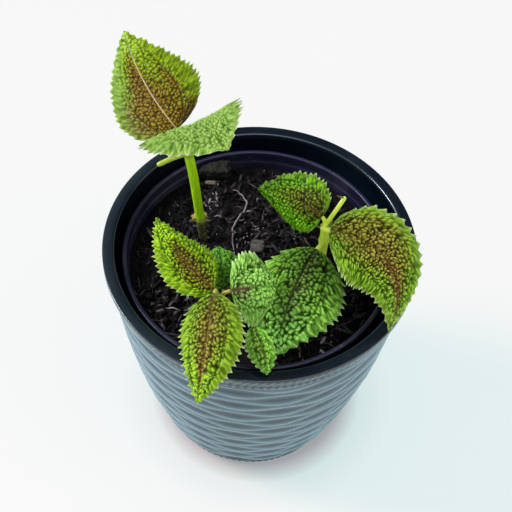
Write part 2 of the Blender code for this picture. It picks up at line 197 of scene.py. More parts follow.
def mark(tree, label):
    """The four numbers of a piece's marks, one by one."""
    stored = shade(tree, "Attribute", attribute_name=label).outputs
    return [*shade(tree, "SeparateColor", {0: stored["Color"]}).outputs, stored["Alpha"]]


def effect(name, inputs, outputs):
    """An empty shader node group with named inputs, each with its default, and named outputs."""
    group = bpy.data.node_groups.new(name, "ShaderNodeTree")
    for label, value in inputs.items():
        kind = "NodeSocketColor" if isinstance(value, tuple) else "NodeSocketFloat"
        group.interface.new_socket(name=label, in_out="INPUT", socket_type=kind).default_value = value
    for label, kind in outputs.items():
        group.interface.new_socket(name=label, in_out="OUTPUT", socket_type="NodeSocket" + kind)
    entry = group.nodes.new("NodeGroupInput")
    way_out = group.nodes.new("NodeGroupOutput")
    return group, entry.outputs, way_out.inputs


def surface(name):
    """A new material and its Principled shader."""
    made = bpy.data.materials.new(name)
    made.use_nodes = True
    return made, made.node_tree, made.node_tree.nodes["Principled BSDF"]


def use_effect(tree, group, inputs):
    return shade(tree, "Group", inputs, node_tree=group).outputs


def relief(tree, shader, height, strength, distance):
    bump = shade(tree, "Bump", {"Height": height, "Strength": strength, "Distance": distance})
    tree.links.new(bump.outputs[0], shader.inputs["Normal"])


def settle(piece, material, node=None):
    """Gives a piece its material, puts it on the plant's one body, and hides the CAD node it stands for."""
    piece.data.materials.clear()
    piece.data.materials.append(material)
    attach(piece, "root")
    if node:
        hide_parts(node)


def smooth_step(low, high, value):
    share = np.clip((value - low) / (high - low), 0, 1)
    return share * share * (3 - 2 * share)


def pot_wall_radius(z):
    u = z / (POT_HEIGHT - POT_FLANGE_DROP)
    return POT_BASE_RADIUS + (POT_WALL_TOP_RADIUS - POT_BASE_RADIUS) * u + POT_WALL_BULGE * 4 * u * (1 - u)


def cover_pot():
    flange_foot = POT_HEIGHT - POT_FLANGE_DROP
    inside = [(0, POT_FLOOR), (20, POT_FLOOR)]
    inside += [(pot_wall_radius(z) - POT_WALL, z) for z in (POT_FLOOR, 4, 30, 60, 90, 104)]
    inside += [(POT_THROAT_RADIUS, POT_HEIGHT - 4), (POT_THROAT_RADIUS, POT_HEIGHT - 2)]
    # the ring is very slightly crowned between its rounded edges
    ring = [(POT_THROAT_RADIUS, -0.6), (POT_THROAT_RADIUS + 0.15, -0.25), (POT_THROAT_RADIUS + 0.5, -0.08),
            (POT_THROAT_RADIUS + 1.2, -0.02), (POT_THROAT_RADIUS + 2.4, 0), (POT_RIM_RADIUS - 0.5, -0.02),
            (POT_RIM_RADIUS - 0.2, -0.05), (POT_RIM_RADIUS - 0.06, -0.13), (POT_RIM_RADIUS, -0.3),
            (POT_RIM_RADIUS, -1.6), (POT_RIM_RADIUS, -POT_FLANGE_DROP + 0.4),
            (POT_RIM_RADIUS - 0.3, -POT_FLANGE_DROP)]
    inside += [(r, POT_HEIGHT + dz) for r, dz in ring]
    inside += [(POT_WALL_TOP_RADIUS + 0.3, flange_foot), (POT_WALL_TOP_RADIUS, flange_foot - 0.3)]
    levels = np.arange(flange_foot - 1, 2.3, -POT_ROW)
    foot = [(POT_BASE_RADIUS + 0.55, 2.1), (POT_BASE_RADIUS + 0.3, 1.9), (POT_BASE_RADIUS + 0.1, 0.3),
            (POT_BASE_RADIUS - 0.3, 0), (20, 0), (0, 0)]
    radii, heights = turned_rows(inside + [(pot_wall_radius(z), z) for z in levels] + foot, POT_STEPS)
    wall = slice(len(inside), len(inside) + len(levels))
    # every other ridge swings up where its neighbours swing down, so the valleys between them are long lenses
    z = heights[wall]
    swing = np.cos(WAVES_ROUND * (np.linspace(0, 2 * math.pi, POT_STEPS, endpoint=False) - WAVE_START))
    ridge = (z - RIDGE_LOWEST_VALLEY) / RIDGE_PITCH
    ridged = smooth_step(0.8, RIDGE_LOWEST_VALLEY, z) * (1 - smooth_step(RIDGE_HIGHEST_CREST, BEAD_LEVEL, z))
    down = np.abs(np.cos(math.pi * ridge))
    open_here = swing * np.cos(math.pi * ridge)
    bead = np.exp(-((z - BEAD_LEVEL) / BEAD_REACH) ** 2)
    radii[wall] += ridged * RIDGE_HEIGHT * (0.5 - (0.76 + 0.24 * open_here) * down ** 0.85) + BEAD_RISE * bead
    heights[wall] += WAVE_RISE * ridged * swing * np.sin(math.pi * ridge)
    # the foot is notched all round, four steps of the ring to a notch
    foot_ring = len(inside) + len(levels) + 1
    radii[foot_ring:foot_ring + 2] += FOOT_NOTCH * (np.arange(POT_STEPS) % 4 < 2)
    # mark: how near a crest each place is
    marks = np.zeros(radii.shape + (4,))
    marks[wall, :, 0] = np.maximum(ridged * (1 - (0.87 + 0.13 * open_here) * down), 0.8 * bead)
    return turned_piece("cover_pot", radii, heights, {"crest": marks.reshape(-1, 4)})


# Moulded plastic has a faint orange peel, dust in specks, and soil smeared where hands and water left it
FINISH = {"Color": "Color", "Roughness": "Float", "Height": "Float"}
moulded, given, made = effect(
    "Moulded plastic", {"Colour": (0.05, 0.06, 0.07, 1), "Dust": 0.3, "Gloss": 0.3}, FINISH)
place = object_place(moulded)
peel = cloud(moulded, place, 900.0, 3.0)
patches = cloud(moulded, place, 42.0, 6.0, 0.62)
grains = shade(moulded, "TexVoronoi", {"Vector": place, "Scale": 520.0, "Randomness": 1.0}).outputs[0]
scatter = cloud(moulded, place, 120.0, 4.0)
specks = times(moulded, spread(moulded, grains, 0.1, 0.22, 1.0, 0.0), spread(moulded, scatter, 0.56, 0.68))
film = times(moulded, spread(moulded, patches, 0.48, 0.75), 0.45)
dusty = times(moulded, number(moulded, "MAXIMUM", specks, film), given["Dust"])
worn = spread(moulded, patches, 0.35, 0.7, 0.0, 0.1)
tinted = blend_colours(moulded, worn, given["Colour"], (0.06, 0.07, 0.08, 1))
dusted = blend_colours(moulded, dusty, tinted, (0.34, 0.32, 0.29, 1))
moulded.links.new(dusted, made["Color"])
rough = plus(moulded, given["Gloss"], spread(moulded, patches, 0.3, 0.7, -0.04, 0.09))
moulded.links.new(plus(moulded, rough, times(moulded, dusty, 0.4)), made["Roughness"])
moulded.links.new(plus(moulded, peel, times(moulded, specks, 0.8)), made["Height"])

anthracite, tree, shader = surface("anthracite_plastic")
finish = use_effect(tree, moulded, {"Colour": (0.004, 0.006, 0.015, 1), "Dust": 0.04, "Gloss": 0.2})
shader.inputs["Coat Roughness"].default_value = 0.16
shader.inputs["Coat IOR"].default_value = 1.6
shader.inputs["Coat Tint"].default_value = (0.72, 0.93, 1.0, 1)
shader.inputs["Specular Tint"].default_value = (0.72, 0.93, 1.0, 1)
x, y, z = axes(tree)
around = number(tree, "ARCTAN2", y, x)
outward = reach(tree, x, y)
# the wall is a cooler, lighter grey than the ring, and its crests and bead are painted pale: a painted
# highlight for the light they catch
crest = mark(tree, "crest")[0]
on_wall = spread(tree, number(tree, "MULTIPLY_ADD", z, -0.19, outward), 0.0385, 0.0395)
on_wall = times(tree, on_wall, spread(tree, z, 0.118, 0.1184, 1.0, 0.0))
pale = number(tree, "POWER", crest, 1.6)
painted_crest_highlights = blend_colours(tree, pale, (0.003, 0.025, 0.042, 1), (0.45, 0.51, 0.555, 1))
walled = blend_colours(tree, on_wall, finish["Color"], painted_crest_highlights)
# painted shade: the wall is near black below about two millimetres, for the shadow where the foot meets the
# table
painted_foot_shade = spread(tree, z, 0.0015, 0.002, 1.0, 0.0)
walled = blend_colours(tree, painted_foot_shade, walled, (0.006, 0.009, 0.014, 1))
# slanted strokes run round it from the ring's edge to the bead
on_side = spread(tree, outward, 0.0635, 0.064, 0.0056, 0.0)
slant = times(tree, plus(tree, z, on_side), STROKES_UP)
slant = number(tree, "SINE", number(tree, "MULTIPLY_ADD", around, -STROKES_ROUND, slant))
in_row = times(tree, spread(tree, z, 0.1064, 0.107), spread(tree, z, 0.1178, 0.1184, 1.0, 0.0))
in_row = times(tree, in_row, spread(tree, outward, 0.0605, 0.061))
strokes = times(tree, spread(tree, slant, -0.8, 0.8), in_row)
drawn = blend_colours(tree, strokes, walled, (0.03, 0.055, 0.075, 1))
tree.links.new(drawn, shader.inputs["Base Color"])
# the foot ring, painted dark as shade, is rough and notched
notched = spread(tree, number(tree, "SINE", times(tree, around, NOTCHES_ROUND)), -0.3, 0.3, 0.6, 1.0)
footing = times(tree, painted_foot_shade, notched)
tree.links.new(number(tree, "MAXIMUM", finish["Roughness"], footing), shader.inputs["Roughness"])
# the valleys, the strokes and the foot have less of the gloss
matt = number(tree, "MULTIPLY_ADD", strokes, -0.35, times(tree, in_row, 0.6))
matt = number(tree, "MAXIMUM", matt, times(tree, on_wall, spread(tree, crest, 0.0, 0.7, 0.35, 0.0)))
matt = number(tree, "MAXIMUM", footing, matt)
tree.links.new(number(tree, "SUBTRACT", 1.0, matt), shader.inputs["Coat Weight"])
height = number(tree, "MULTIPLY_ADD", strokes, 8.0, finish["Height"])
relief(tree, shader, height, 0.6, 0.00004)
settle(cover_pot(), anthracite, "outer_pot")


# Nursery pot.
# The thin near-black pot the cuttings were raised in, blow moulded, with a rolled lip, a stacking ledge below
# it and five drain holes. It stands loose inside the cover pot, a little left of the middle.
LINER_TOP = 112.8
LINER_SHIFT = -0.9
LINER_LIP_RADIUS = 56.3
LINER_LIP_WIDTH = 1.9
LINER_LIP_DROP = 3.0
LINER_TOP_RADIUS = 55.1
LINER_BASE_RADIUS = 36.5
LINER_WALL = 1.0
LINER_BOTTOM = 3.3
LINER_FLOOR = 4.5
LINER_STEPS = 240
LEDGE_HEIGHT = 107.6
LEDGE_DEPTH = 0.45
DRAIN_HOLES = 5
DRAIN_RADIUS = 4.0
DRAIN_CIRCLE = 22.0
DRAIN_STEPS = 40
DRILL_LENGTH = 6


def liner_inner_radius(z):
    u = (z - LINER_BOTTOM) / (LINER_TOP - LINER_LIP_DROP - LINER_BOTTOM)
    return LINER_BASE_RADIUS + (LINER_TOP_RADIUS - LINER_BASE_RADIUS) * u - LINER_WALL


def keep_modified(piece):
    """Puts the mesh that a piece's modifiers make in the place of its own."""
    bpy.context.view_layer.update()
    mesh = bpy.data.meshes.new_from_object(piece.evaluated_get(bpy.context.evaluated_depsgraph_get()))
    piece.modifiers.clear()
    piece.data = mesh


def nursery_pot():
    lip_inner = LINER_LIP_RADIUS - LINER_LIP_WIDTH
    lip_foot = LINER_TOP - LINER_LIP_DROP
    profile = [(0, LINER_FLOOR), (30, LINER_FLOOR), (liner_inner_radius(LINER_FLOOR), LINER_FLOOR)]
    profile += [(liner_inner_radius(z), z) for z in (30, 60, 90, 100, 104, LEDGE_HEIGHT - 0.6)]
    profile += [(liner_inner_radius(LEDGE_HEIGHT) + LEDGE_DEPTH * k / 3, LEDGE_HEIGHT - 0.3 + 0.2 * k)
                for k in range(4)]
    profile += [(liner_inner_radius(lip_foot) + 0.2, lip_foot), (lip_inner - 0.1, LINER_TOP - 1.2)]
    roll = [math.radians(a) for a in range(180, -1, -20)]
    half = LINER_LIP_WIDTH / 2
    profile += [(lip_inner + half + half * math.cos(a), LINER_TOP - 0.55 + 0.55 * math.sin(a)) for a in roll]
    profile += [(LINER_LIP_RADIUS, lip_foot + 0.2), (LINER_LIP_RADIUS - 0.3, lip_foot),
                (LINER_TOP_RADIUS, lip_foot), (liner_inner_radius(60) + LINER_WALL, 60),
                (LINER_BASE_RADIUS, LINER_BOTTOM + 1), (LINER_BASE_RADIUS - 1, LINER_BOTTOM),
                (30, LINER_BOTTOM), (0, LINER_BOTTOM)]
    pot = turned_piece("nursery_pot", *turned_rows(profile, LINER_STEPS))
    pot.data.transform(Matrix.Translation((LINER_SHIFT * MM, 0, 0)))
    drills = bpy.data.collections.new("drain_drills")
    bpy.context.scene.collection.children.link(drills)
    for k in range(DRAIN_HOLES):
        angle = 2 * math.pi * (k + 0.5) / DRAIN_HOLES
        shape = bmesh.new()
        bmesh.ops.create_cone(shape, cap_ends=True, segments=DRAIN_STEPS, radius1=DRAIN_RADIUS * MM,
                              radius2=DRAIN_RADIUS * MM, depth=DRILL_LENGTH * MM)
        mesh = bpy.data.meshes.new("drain_drill")
        shape.to_mesh(mesh)
        shape.free()
        drill = bpy.data.objects.new("drain_drill", mesh)
        drill.location = ((LINER_SHIFT + DRAIN_CIRCLE * math.cos(angle)) * MM,
                          DRAIN_CIRCLE * math.sin(angle) * MM, (LINER_BOTTOM + 0.6) * MM)
        drills.objects.link(drill)
    cut = pot.modifiers.new("Drain holes", "BOOLEAN")
    cut.operand_type = "COLLECTION"
    cut.collection = drills
    cut.solver = "EXACT"
    keep_modified(pot)
    for drill in list(drills.objects):
        bpy.data.objects.remove(drill)
    bpy.data.collections.remove(drills)
    return pot


def wear(tree, shader, finish, strength, distance):
    """Gives a shader the colour, roughness and relief of an effect."""
    tree.links.new(finish["Color"], shader.inputs["Base Color"])
    tree.links.new(finish["Roughness"], shader.inputs["Roughness"])
    relief(tree, shader, finish["Height"], strength, distance)


thin_plastic, tree, shader = surface("nursery_pot_plastic")
finish = use_effect(tree, moulded, {"Colour": (0.016, 0.016, 0.045, 1), "Dust": 0.36, "Gloss": 0.34})
shader.inputs["Specular Tint"].default_value = (0.75, 0.77, 1.0, 1)
wear(tree, shader, finish, 0.6, 0.00005)
settle(nursery_pot(), thin_plastic, "inner_pot")


# Soil.
# Damp black peat mix, poured into the nursery pot to about a centimetre below its lip and pressed round the
# stems: a lumpy surface, loose crumbs on it, and the pale and brown fibres that peat is full of.
SOIL_EDGE_HEIGHT = 104.5
SOIL_MOUND = 3.0
SOIL_MOUND_RADIUS = 50.0
SOIL_LUMP = 2.6
SOIL_LUMP_SIZE = 11.0
SOIL_LAYER = 3.0
SOIL_SIDE_GAP = 0.1
SOIL_RINGS = 120
SOIL_STEPS = 300
SOIL_BOTTOM = 4.8
SOIL_WAIST = 90
SOIL_LOW_GAP = 0.4
CRUMB_COUNT = 2300
CRUMB_RISE = 0.25
FIBRE_COUNT = 520
PALE_PATCHES = [(-23.1, 30.9, 22, 5), (-6.6, 26.3, 8, 3), (-48.6, -18.0, 9, 3), (-34.9, -26.3, 8, 3),
                (-44.1, -31.5, 8, 4), (-34.0, -37.8, 12, 4), (41.5, -16.3, 22, 5), (38.4, -29.3, 12, 4),
                (5.2, 25.8, 10, 5), (12.6, 7.6, 8, 6), (20.0, -41.0, 10, 6), (30.7, -31.0, 12, 6),
                (-22.0, 40.0, 6, 5), (0, 0, 34, 42)]
draw = np.random.default_rng(31)


def lump_height(x, y):
    """The height of the soil's large lumps, as the solid has them."""
    mound = SOIL_MOUND * (1 - min(1.0, math.hypot(x, y) / SOIL_MOUND_RADIUS) ** 2)
    spot = Vector((x, y, SOIL_LAYER)) / SOIL_LUMP_SIZE
    return SOIL_EDGE_HEIGHT + mound + SOIL_LUMP * (noise.noise(spot) + 0.6 * noise.noise(spot * 2.3))


def soil_height(x, y):
    """The height of the finished surface at a place, both measured from the middle of the nursery pot."""
    edge = liner_inner_radius(SOIL_EDGE_HEIGHT)
    inward = min(1.0, max(0.0, (edge - math.hypot(x, y)) / 3.0))
    crumbly = 0.9 * noise.noise(Vector((x, y, 7)) / 3.1) + 0.55 * noise.noise(Vector((x, y, 1)) / 1.4)
    crumbly += 0.3 * noise.noise(Vector((x, y, 4)) / 0.7)
    level = SOIL_EDGE_HEIGHT + (lump_height(x, y) - SOIL_EDGE_HEIGHT) * inward
    return level + crumbly * (0.5 + 0.5 * inward)


def soil_heap():
    edge = liner_inner_radius(SOIL_EDGE_HEIGHT) - SOIL_SIDE_GAP
    turn = np.linspace(0, 2 * math.pi, SOIL_STEPS, endpoint=False)
    rows = [[(edge * k / SOIL_RINGS * math.cos(a), edge * k / SOIL_RINGS * math.sin(a)) for a in turn]
            for k in range(SOIL_RINGS + 1)]
    points = [(x, y, soil_height(x, y)) for row in rows for x, y in row]
    low_edge = [(liner_inner_radius(z) - SOIL_LOW_GAP, z) for z in (SOIL_WAIST, SOIL_BOTTOM)]
    for radius, z in low_edge + [(0, SOIL_BOTTOM)]:
        points += [(radius * math.cos(a), radius * math.sin(a), z) for a in turn]
    points = np.array(points) + (LINER_SHIFT, 0, 0)
    return mesh_piece("soil_heap", points, round_faces(len(points) // SOIL_STEPS, SOIL_STEPS))


def soil_crumbs():
    """Loose lumps of peat, from dust to pea size, each pressed a little into the surface."""
    seed_shape = bmesh.new()
    bmesh.ops.create_icosphere(seed_shape, subdivisions=1, radius=1.0)
    corners = np.array([v.co for v in seed_shape.verts])
    sides = [[v.index for v in f.verts] for f in seed_shape.faces]
    seed_shape.free()
    points, faces = [], []
    for _ in range(CRUMB_COUNT):
        radius = (liner_inner_radius(SOIL_EDGE_HEIGHT) - 1.5) * math.sqrt(draw.random())
        angle = draw.random() * 2 * math.pi
        x, y = radius * math.cos(angle), radius * math.sin(angle)
        size = 0.35 + 1.25 * draw.random() ** 4
        shape = corners * (1 + 0.35 * draw.standard_normal((len(corners), 1)).clip(-1.5, 1.5))
        shape = shape * size * draw.uniform(0.6, 1.25, 3)
        spin = draw.random() * 2 * math.pi
        c, s = math.cos(spin), math.sin(spin)
        shape = shape @ np.array([[c, s, 0], [-s, c, 0], [0, 0, 1]])
        first = len(points)
        points.extend(shape + (x + LINER_SHIFT, y, soil_height(x, y) + size * CRUMB_RISE))
        faces.extend([[first + v for v in side] for side in sides])
    return mesh_piece("soil_crumbs", points, faces)


def tube(points, route, radii, across, over, sides):
    """Adds rings round a route to a list of points, and returns the faces of the closed rod they make."""
    first = len(points)
    count = len(route)
    for i in range(count):
        for k in range(sides):
            a = 2 * math.pi * k / sides
            points.append(route[i] + radii[i] * (across[i] * math.cos(a) + over[i] * math.sin(a)))
    faces = [[first + corner for corner in face] for face in round_faces(count, sides)]
    faces.append([first + k for k in range(sides)])
    faces.append([first + (count - 1) * sides + k for k in range(sides)])
    return faces


def strand(points, route, radius, sides=4):
    """Adds a thin tapering rod along a route to a list of points, and returns its faces."""
    route = np.asarray(route, float)
    run = np.gradient(route, axis=0)
    run /= np.linalg.norm(run, axis=1)[:, None]
    across = np.cross(run, (0.0, 0.0, 1.0)) + 1e-6
    across /= np.linalg.norm(across, axis=1)[:, None]
    over = np.cross(across, run)
    count = len(route)
    middle = [math.sin(math.pi * min(0.98, (i + 0.5) / count)) for i in range(count)]
    radii = [radius * (0.35 + 0.65 * share) for share in middle]
    return tube(points, route, radii, across, over, sides)


def soil_fibres(name, patches, count, length, radius, lift):
    """Fibres that lie bent on the soil; a patch is its middle, how many it holds, and its reach."""
    points, faces = [], []
    limit = liner_inner_radius(SOIL_EDGE_HEIGHT) - 2.0
    for px, py, held, reach in patches:
        for _ in range(int(held * count)):
            x, y = draw.normal(px - LINER_SHIFT, reach * 0.5), draw.normal(py, reach * 0.5)
            heading = draw.random() * 2 * math.pi
            bend = draw.normal(0, 0.28)
            long = length * draw.uniform(0.45, 1.5)
            route = []
            for i in range(7):
                if math.hypot(x, y) > limit:
                    break
                arch = lift * math.sin(math.pi * i / 6) * draw.uniform(0.4, 1.4)
                route.append((x + LINER_SHIFT, y, soil_height(x, y) + radius * 1.2 + arch))
                x += long / 6 * math.cos(heading)
                y += long / 6 * math.sin(heading)
                heading += bend
            if len(route) > 3:
                faces.extend(strand(points, route, radius * draw.uniform(0.6, 1.3)))
    return mesh_piece(name, points, faces)


# Peat, bark and roots all show short fibres, dark pores and crumbs of another tone
fibrous, given, made = effect(
    "Fibrous matter", {"Dark": (0.01, 0.008, 0.008, 1), "Light": (0.05, 0.035, 0.028, 1), "Scale": 300.0},
    FINISH)
place = object_place(fibrous)
crumb = shade(fibrous, "TexVoronoi", {"Vector": place, "Scale": given["Scale"]}).outputs[0]
grain = cloud(fibrous, place, given["Scale"], 6.0, 0.7)
broad = cloud(fibrous, place, 70.0, 3.0)
tone = times(fibrous, spread(fibrous, grain, 0.35, 0.75), spread(fibrous, broad, 0.35, 0.7, 0.25, 1.0))
fibrous.links.new(blend_colours(fibrous, tone, given["Dark"], given["Light"]), made["Color"])
fibrous.links.new(number(fibrous, "SUBTRACT", grain, times(fibrous, crumb, 0.6)), made["Height"])
fibrous.links.new(spread(fibrous, broad, 0.35, 0.7, 0.62, 0.9), made["Roughness"])


def fibrous_surface(name, dark, light, scale, depth, shine=0.5):
    made, tree, shader = surface(name)
    shader.inputs["Specular IOR Level"].default_value = shine
    wear(tree, shader, use_effect(tree, fibrous, {"Dark": dark, "Light": light, "Scale": scale}), 0.9, depth)
    return made


def peat_shreds(name, patches, length, width, lift):
    """Flat torn shreds of bark and reed, bent and tilted; patches are as for the fibres."""
    points, faces = [], []
    limit = liner_inner_radius(SOIL_EDGE_HEIGHT) - 1.5
    for px, py, held, reach in patches:
        for _ in range(held):
            x, y = draw.normal(px - LINER_SHIFT, reach * 0.5), draw.normal(py, reach * 0.5)
            heading, bend, tilt = draw.random() * 2 * math.pi, draw.normal(0, 0.16), draw.normal(0, 0.5)
            long, wide = length * draw.uniform(0.4, 1.6), width * draw.uniform(0.5, 1.5)
            slope, thick = draw.normal(0, 0.16), 0.18 * draw.uniform(0.7, 1.6)
            first = len(points)
            rings = 0
            for i in range(6):
                if math.hypot(x, y) > limit:
                    break
                t = i / 5
                swell = 0.25 + 0.75 * math.sin(math.pi * (0.12 + 0.76 * t))
                half = wide / 2 * swell * draw.uniform(0.75, 1.2)
                rise = max(0.0, slope * long * (t - 0.5)) + lift * draw.uniform(0.2, 1.0)
                ax, ay = -math.sin(heading) * half, math.cos(heading) * half
                dz = half * math.sin(tilt)
                z = soil_height(x, y) + rise + abs(dz)
                for across, up in ((1, thick), (-1, thick), (-1, -thick), (1, -thick)):
                    points.append((x + LINER_SHIFT + ax * across, y + ay * across, z + dz * across + up))
                rings += 1
                x, y = x + long / 5 * math.cos(heading), y + long / 5 * math.sin(heading)
                heading += bend
            if rings < 3:
                del points[first:]
                continue
            faces.extend([first + corner for corner in face] for face in round_faces(rings, 4))
            faces.append([first, first + 1, first + 2, first + 3])
            faces.append([first + 4 * rings - 4 + c for c in range(4)])
    return mesh_piece(name, points, faces)


def laid_straws(name, routes):
    """Single straws, roots and flakes; a route is half its width and the places it runs through."""
    points, faces = [], []
    for half, *places in routes:
        line = []
        for k in range(10 * (len(places) - 1) + 1):
            i, t = divmod(k / 10, 1)
            (x0, y0), (x1, y1) = places[int(i)], places[min(int(i) + 1, len(places) - 1)]
            x, y = x0 + (x1 - x0) * t, y0 + (y1 - y0) * t
            line.append((x, y, soil_height(x - LINER_SHIFT, y) + half * 0.8 + 0.5))
        line = np.array(line)
        for _ in range(3):
            line[1:-1] = (line[:-2] + line[1:-1] + line[2:]) / 3
        faces.extend(strand(points, line, half, 6))
    return mesh_piece(name, points, faces)


# each straw: half its width, then the places it runs through
GREY_STRAWS = [
    (0.55, (41.6, -18.5), (40.9, -22), (38.6, -25.6), (35.4, -28.1), (32.6, -30)),
    (0.6, (30.2, -31.9), (35.4, -31.2), (40.3, -31.2)), (0.4, (28.3, -37.5), (32.4, -39)),
    (0.35, (36.8, -15), (39.3, -13.2), (41.4, -14.5), (42.2, -16.4)),
    (0.3, (36, -18.5), (38.5, -17.8), (40.6, -19.1)),
    (0.4, (42.7, -28.1), (44.7, -24.6)), (0.35, (-51, -18.6), (-49.5, -20.9), (-48.2, -21.3)),
    (0.35, (-48.2, -21.3), (-46.1, -18.1)), (0.35, (-46, -28.9), (-44.2, -30.5), (-42.8, -32)),
    (0.3, (-45.8, -30.9), (-43.8, -33.6), (-42.3, -36.3)),
    (0.3, (-42.7, -32.5), (-40.2, -33.2), (-37.8, -33)),
    (0.4, (-37.7, -37.8), (-33.6, -38.3), (-29.5, -38.5)),
    (0.3, (-49.8, -11.4), (-49, -14.9), (-48.1, -18.3)),
    (0.3, (-15, 38.8), (-13.8, 40.6), (-13.1, 43)), (0.35, (-7.3, 43), (-5.4, 41.5), (-3.5, 39.9)),
    (0.3, (-17.6, 22.3), (-15.7, 20.3), (-13.4, 18.8)), (0.4, (-26.5, 33.7), (-25, 31.6)),
    (0.3, (2.3, 15.5), (3.5, 17.2), (4.4, 17)), (0.3, (2.1, 12.2), (5, 13.1)),
    (0.35, (13.6, 13.3), (15.8, 13), (17.5, 11), (18.5, 9)), (0.3, (13, 17), (13.2, 13.3)),
    (0.3, (-7.6, 33.8), (-6.8, 35), (-5.8, 34)), (0.3, (8.9, 21.5), (9.9, 18.4)),
    (0.3, (20.3, -38.2), (21.2, -41.4)),
]
BRIGHT_STRAWS = [
    (0.75, (27.1, -38.1), (29, -34.1)), (0.6, (26.8, -41.4), (29.7, -43.4)),
    (0.7, (22.6, -47.3), (26.2, -46.5)),
    (0.4, (-37.2, -27.2), (-33.9, -27.4), (-30.6, -28)), (0.45, (-8.7, 25.2), (-6.1, 25.3), (-4, 26.1)),
    (0.35, (-20.9, 20.3), (-19.3, 21.3), (-17.9, 20.6)), (0.35, (-21, 41.6), (-20.7, 38.8)),
]
TAN_STRAWS = [(0.8, (15.8, -37.2), (17.2, -39.9), (18.5, -42.6), (19, -45.3)),
              (0.6, (18.3, 12.7), (19.3, 10.1), (20.6, 8.2))]
# patches: middle, how many, and how far they reach
GREY_PATCHES = [(0, 0, 150, 56), (8, 32, 34, 22), (12, 14, 26, 12), (-40, -28, 22, 18), (34, -26, 34, 20)]
SPECK_PATCHES = [(0, 0, 60, 60), (-22, 31, 16, 6), (6, 38, 14, 24), (24, -40, 14, 14), (-8, 16, 8, 14)]

peat = fibrous_surface("black_peat", (0.0022, 0.0016, 0.003, 1), (0.01, 0.007, 0.011, 1), 420.0, 0.0006, 0.12)
peat_crumb = fibrous_surface(
    "peat_crumbs", (0.003, 0.0024, 0.0035, 1), (0.03, 0.022, 0.026, 1), 600.0, 0.0004, 0.15)
dark_shred = fibrous_surface(
    "dark_shreds", (0.006, 0.0045, 0.006, 1), (0.045, 0.034, 0.04, 1), 700.0, 0.0002, 0.3)
grey_shred = fibrous_surface("grey_shreds", (0.04, 0.034, 0.042, 1), (0.2, 0.17, 0.19, 1), 700.0, 0.0002, 0.4)
pale_shred = fibrous_surface("pale_shreds", (0.25, 0.22, 0.24, 1), (0.75, 0.7, 0.74, 1), 800.0, 0.0001)
tan_shred = fibrous_surface("tan_shreds", (0.12, 0.085, 0.06, 1), (0.36, 0.27, 0.2, 1), 800.0, 0.0002)
brown_fibre = fibrous_surface(
    "brown_fibres", (0.02, 0.014, 0.012, 1), (0.12, 0.08, 0.06, 1), 900.0, 0.0001, 0.2)
settle(soil_heap(), peat, "soil")
settle(soil_crumbs(), peat_crumb)
settle(peat_shreds("dark_shreds", [(0, 0, 620, 56)], 5.0, 1.0, 0.5), dark_shred)
settle(peat_shreds("grey_shreds", GREY_PATCHES, 4.0, 0.8, 1.0), grey_shred)
settle(peat_shreds("pale_specks", SPECK_PATCHES, 1.2, 0.55, 1.2), pale_shred)
brown_fibres = soil_fibres("soil_fibres_brown", [(0, 0, FIBRE_COUNT, 50)] + PALE_PATCHES, 1.0, 4.5, 0.15, 0.6)
settle(brown_fibres, brown_fibre)
settle(laid_straws("grey_straws", GREY_STRAWS), grey_shred)
settle(laid_straws("bright_straws", BRIGHT_STRAWS), pale_shred)
settle(laid_straws("tan_straws", TAN_STRAWS), tan_shred)


# Loose bits on the soil.
# A long pale root that was washed bare, a rough grey-brown chip, a light flake of bark and a dark chunk. They
# came with the peat and lie where watering left them.
ROOT_RADIUS = 0.45
ROOT_ROUTE = [(-14, 36), (-11, 35), (-8, 31), (-7.5, 27.5), (-10, 21), (-12.3, 15.6), (-12.2, 11), (-11.7, 5),
              (-10.4, 0)]
CHIP_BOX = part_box("soil_chip")
BARK_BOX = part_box("soil_bark")
DARK_CHUNK_BOX = ((-0.031, 0.042, 0.104), (-0.015, 0.051, 0.112))
CHUNK_LEANS_BELOW = 107.0
CHUNK_GAP = 0.15


def smooth_path(points, spans):
    """A smooth curve through the points, with the given number of steps between two of them."""
    stops = [Vector(p) for p in points]
    stops = [2 * stops[0] - stops[1]] + stops + [2 * stops[-1] - stops[-2]]
    path = []
    for i in range(1, len(stops) - 2):
        a, b, c, d = stops[i - 1:i + 3]
        for k in range(spans):
            t = k / spans
            path.append(0.5 * (2 * b + (c - a) * t + (2 * a - 5 * b + 4 * c - d) * t * t
                               + (3 * b - a - 3 * c + d) * t ** 3))
    path.append(stops[-2])
    return path


def pale_root():
    _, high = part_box("soil_root")
    route = []
    for spot in smooth_path([(x, y, 0) for x, y in ROOT_ROUTE], 10):
        ground = soil_height(spot.x - LINER_SHIFT, spot.y)
        wobble = 0.25 * noise.noise(Vector((spot.x, spot.y, 2)) / 2.0)
        top = high.z / MM - ROOT_RADIUS
        route.append((spot.x + wobble, spot.y, min(top, ground + ROOT_RADIUS + 1.3)))
    points = []
    faces = strand(points, route, ROOT_RADIUS * 0.85, 10)
    return mesh_piece("pale_root", points, faces)


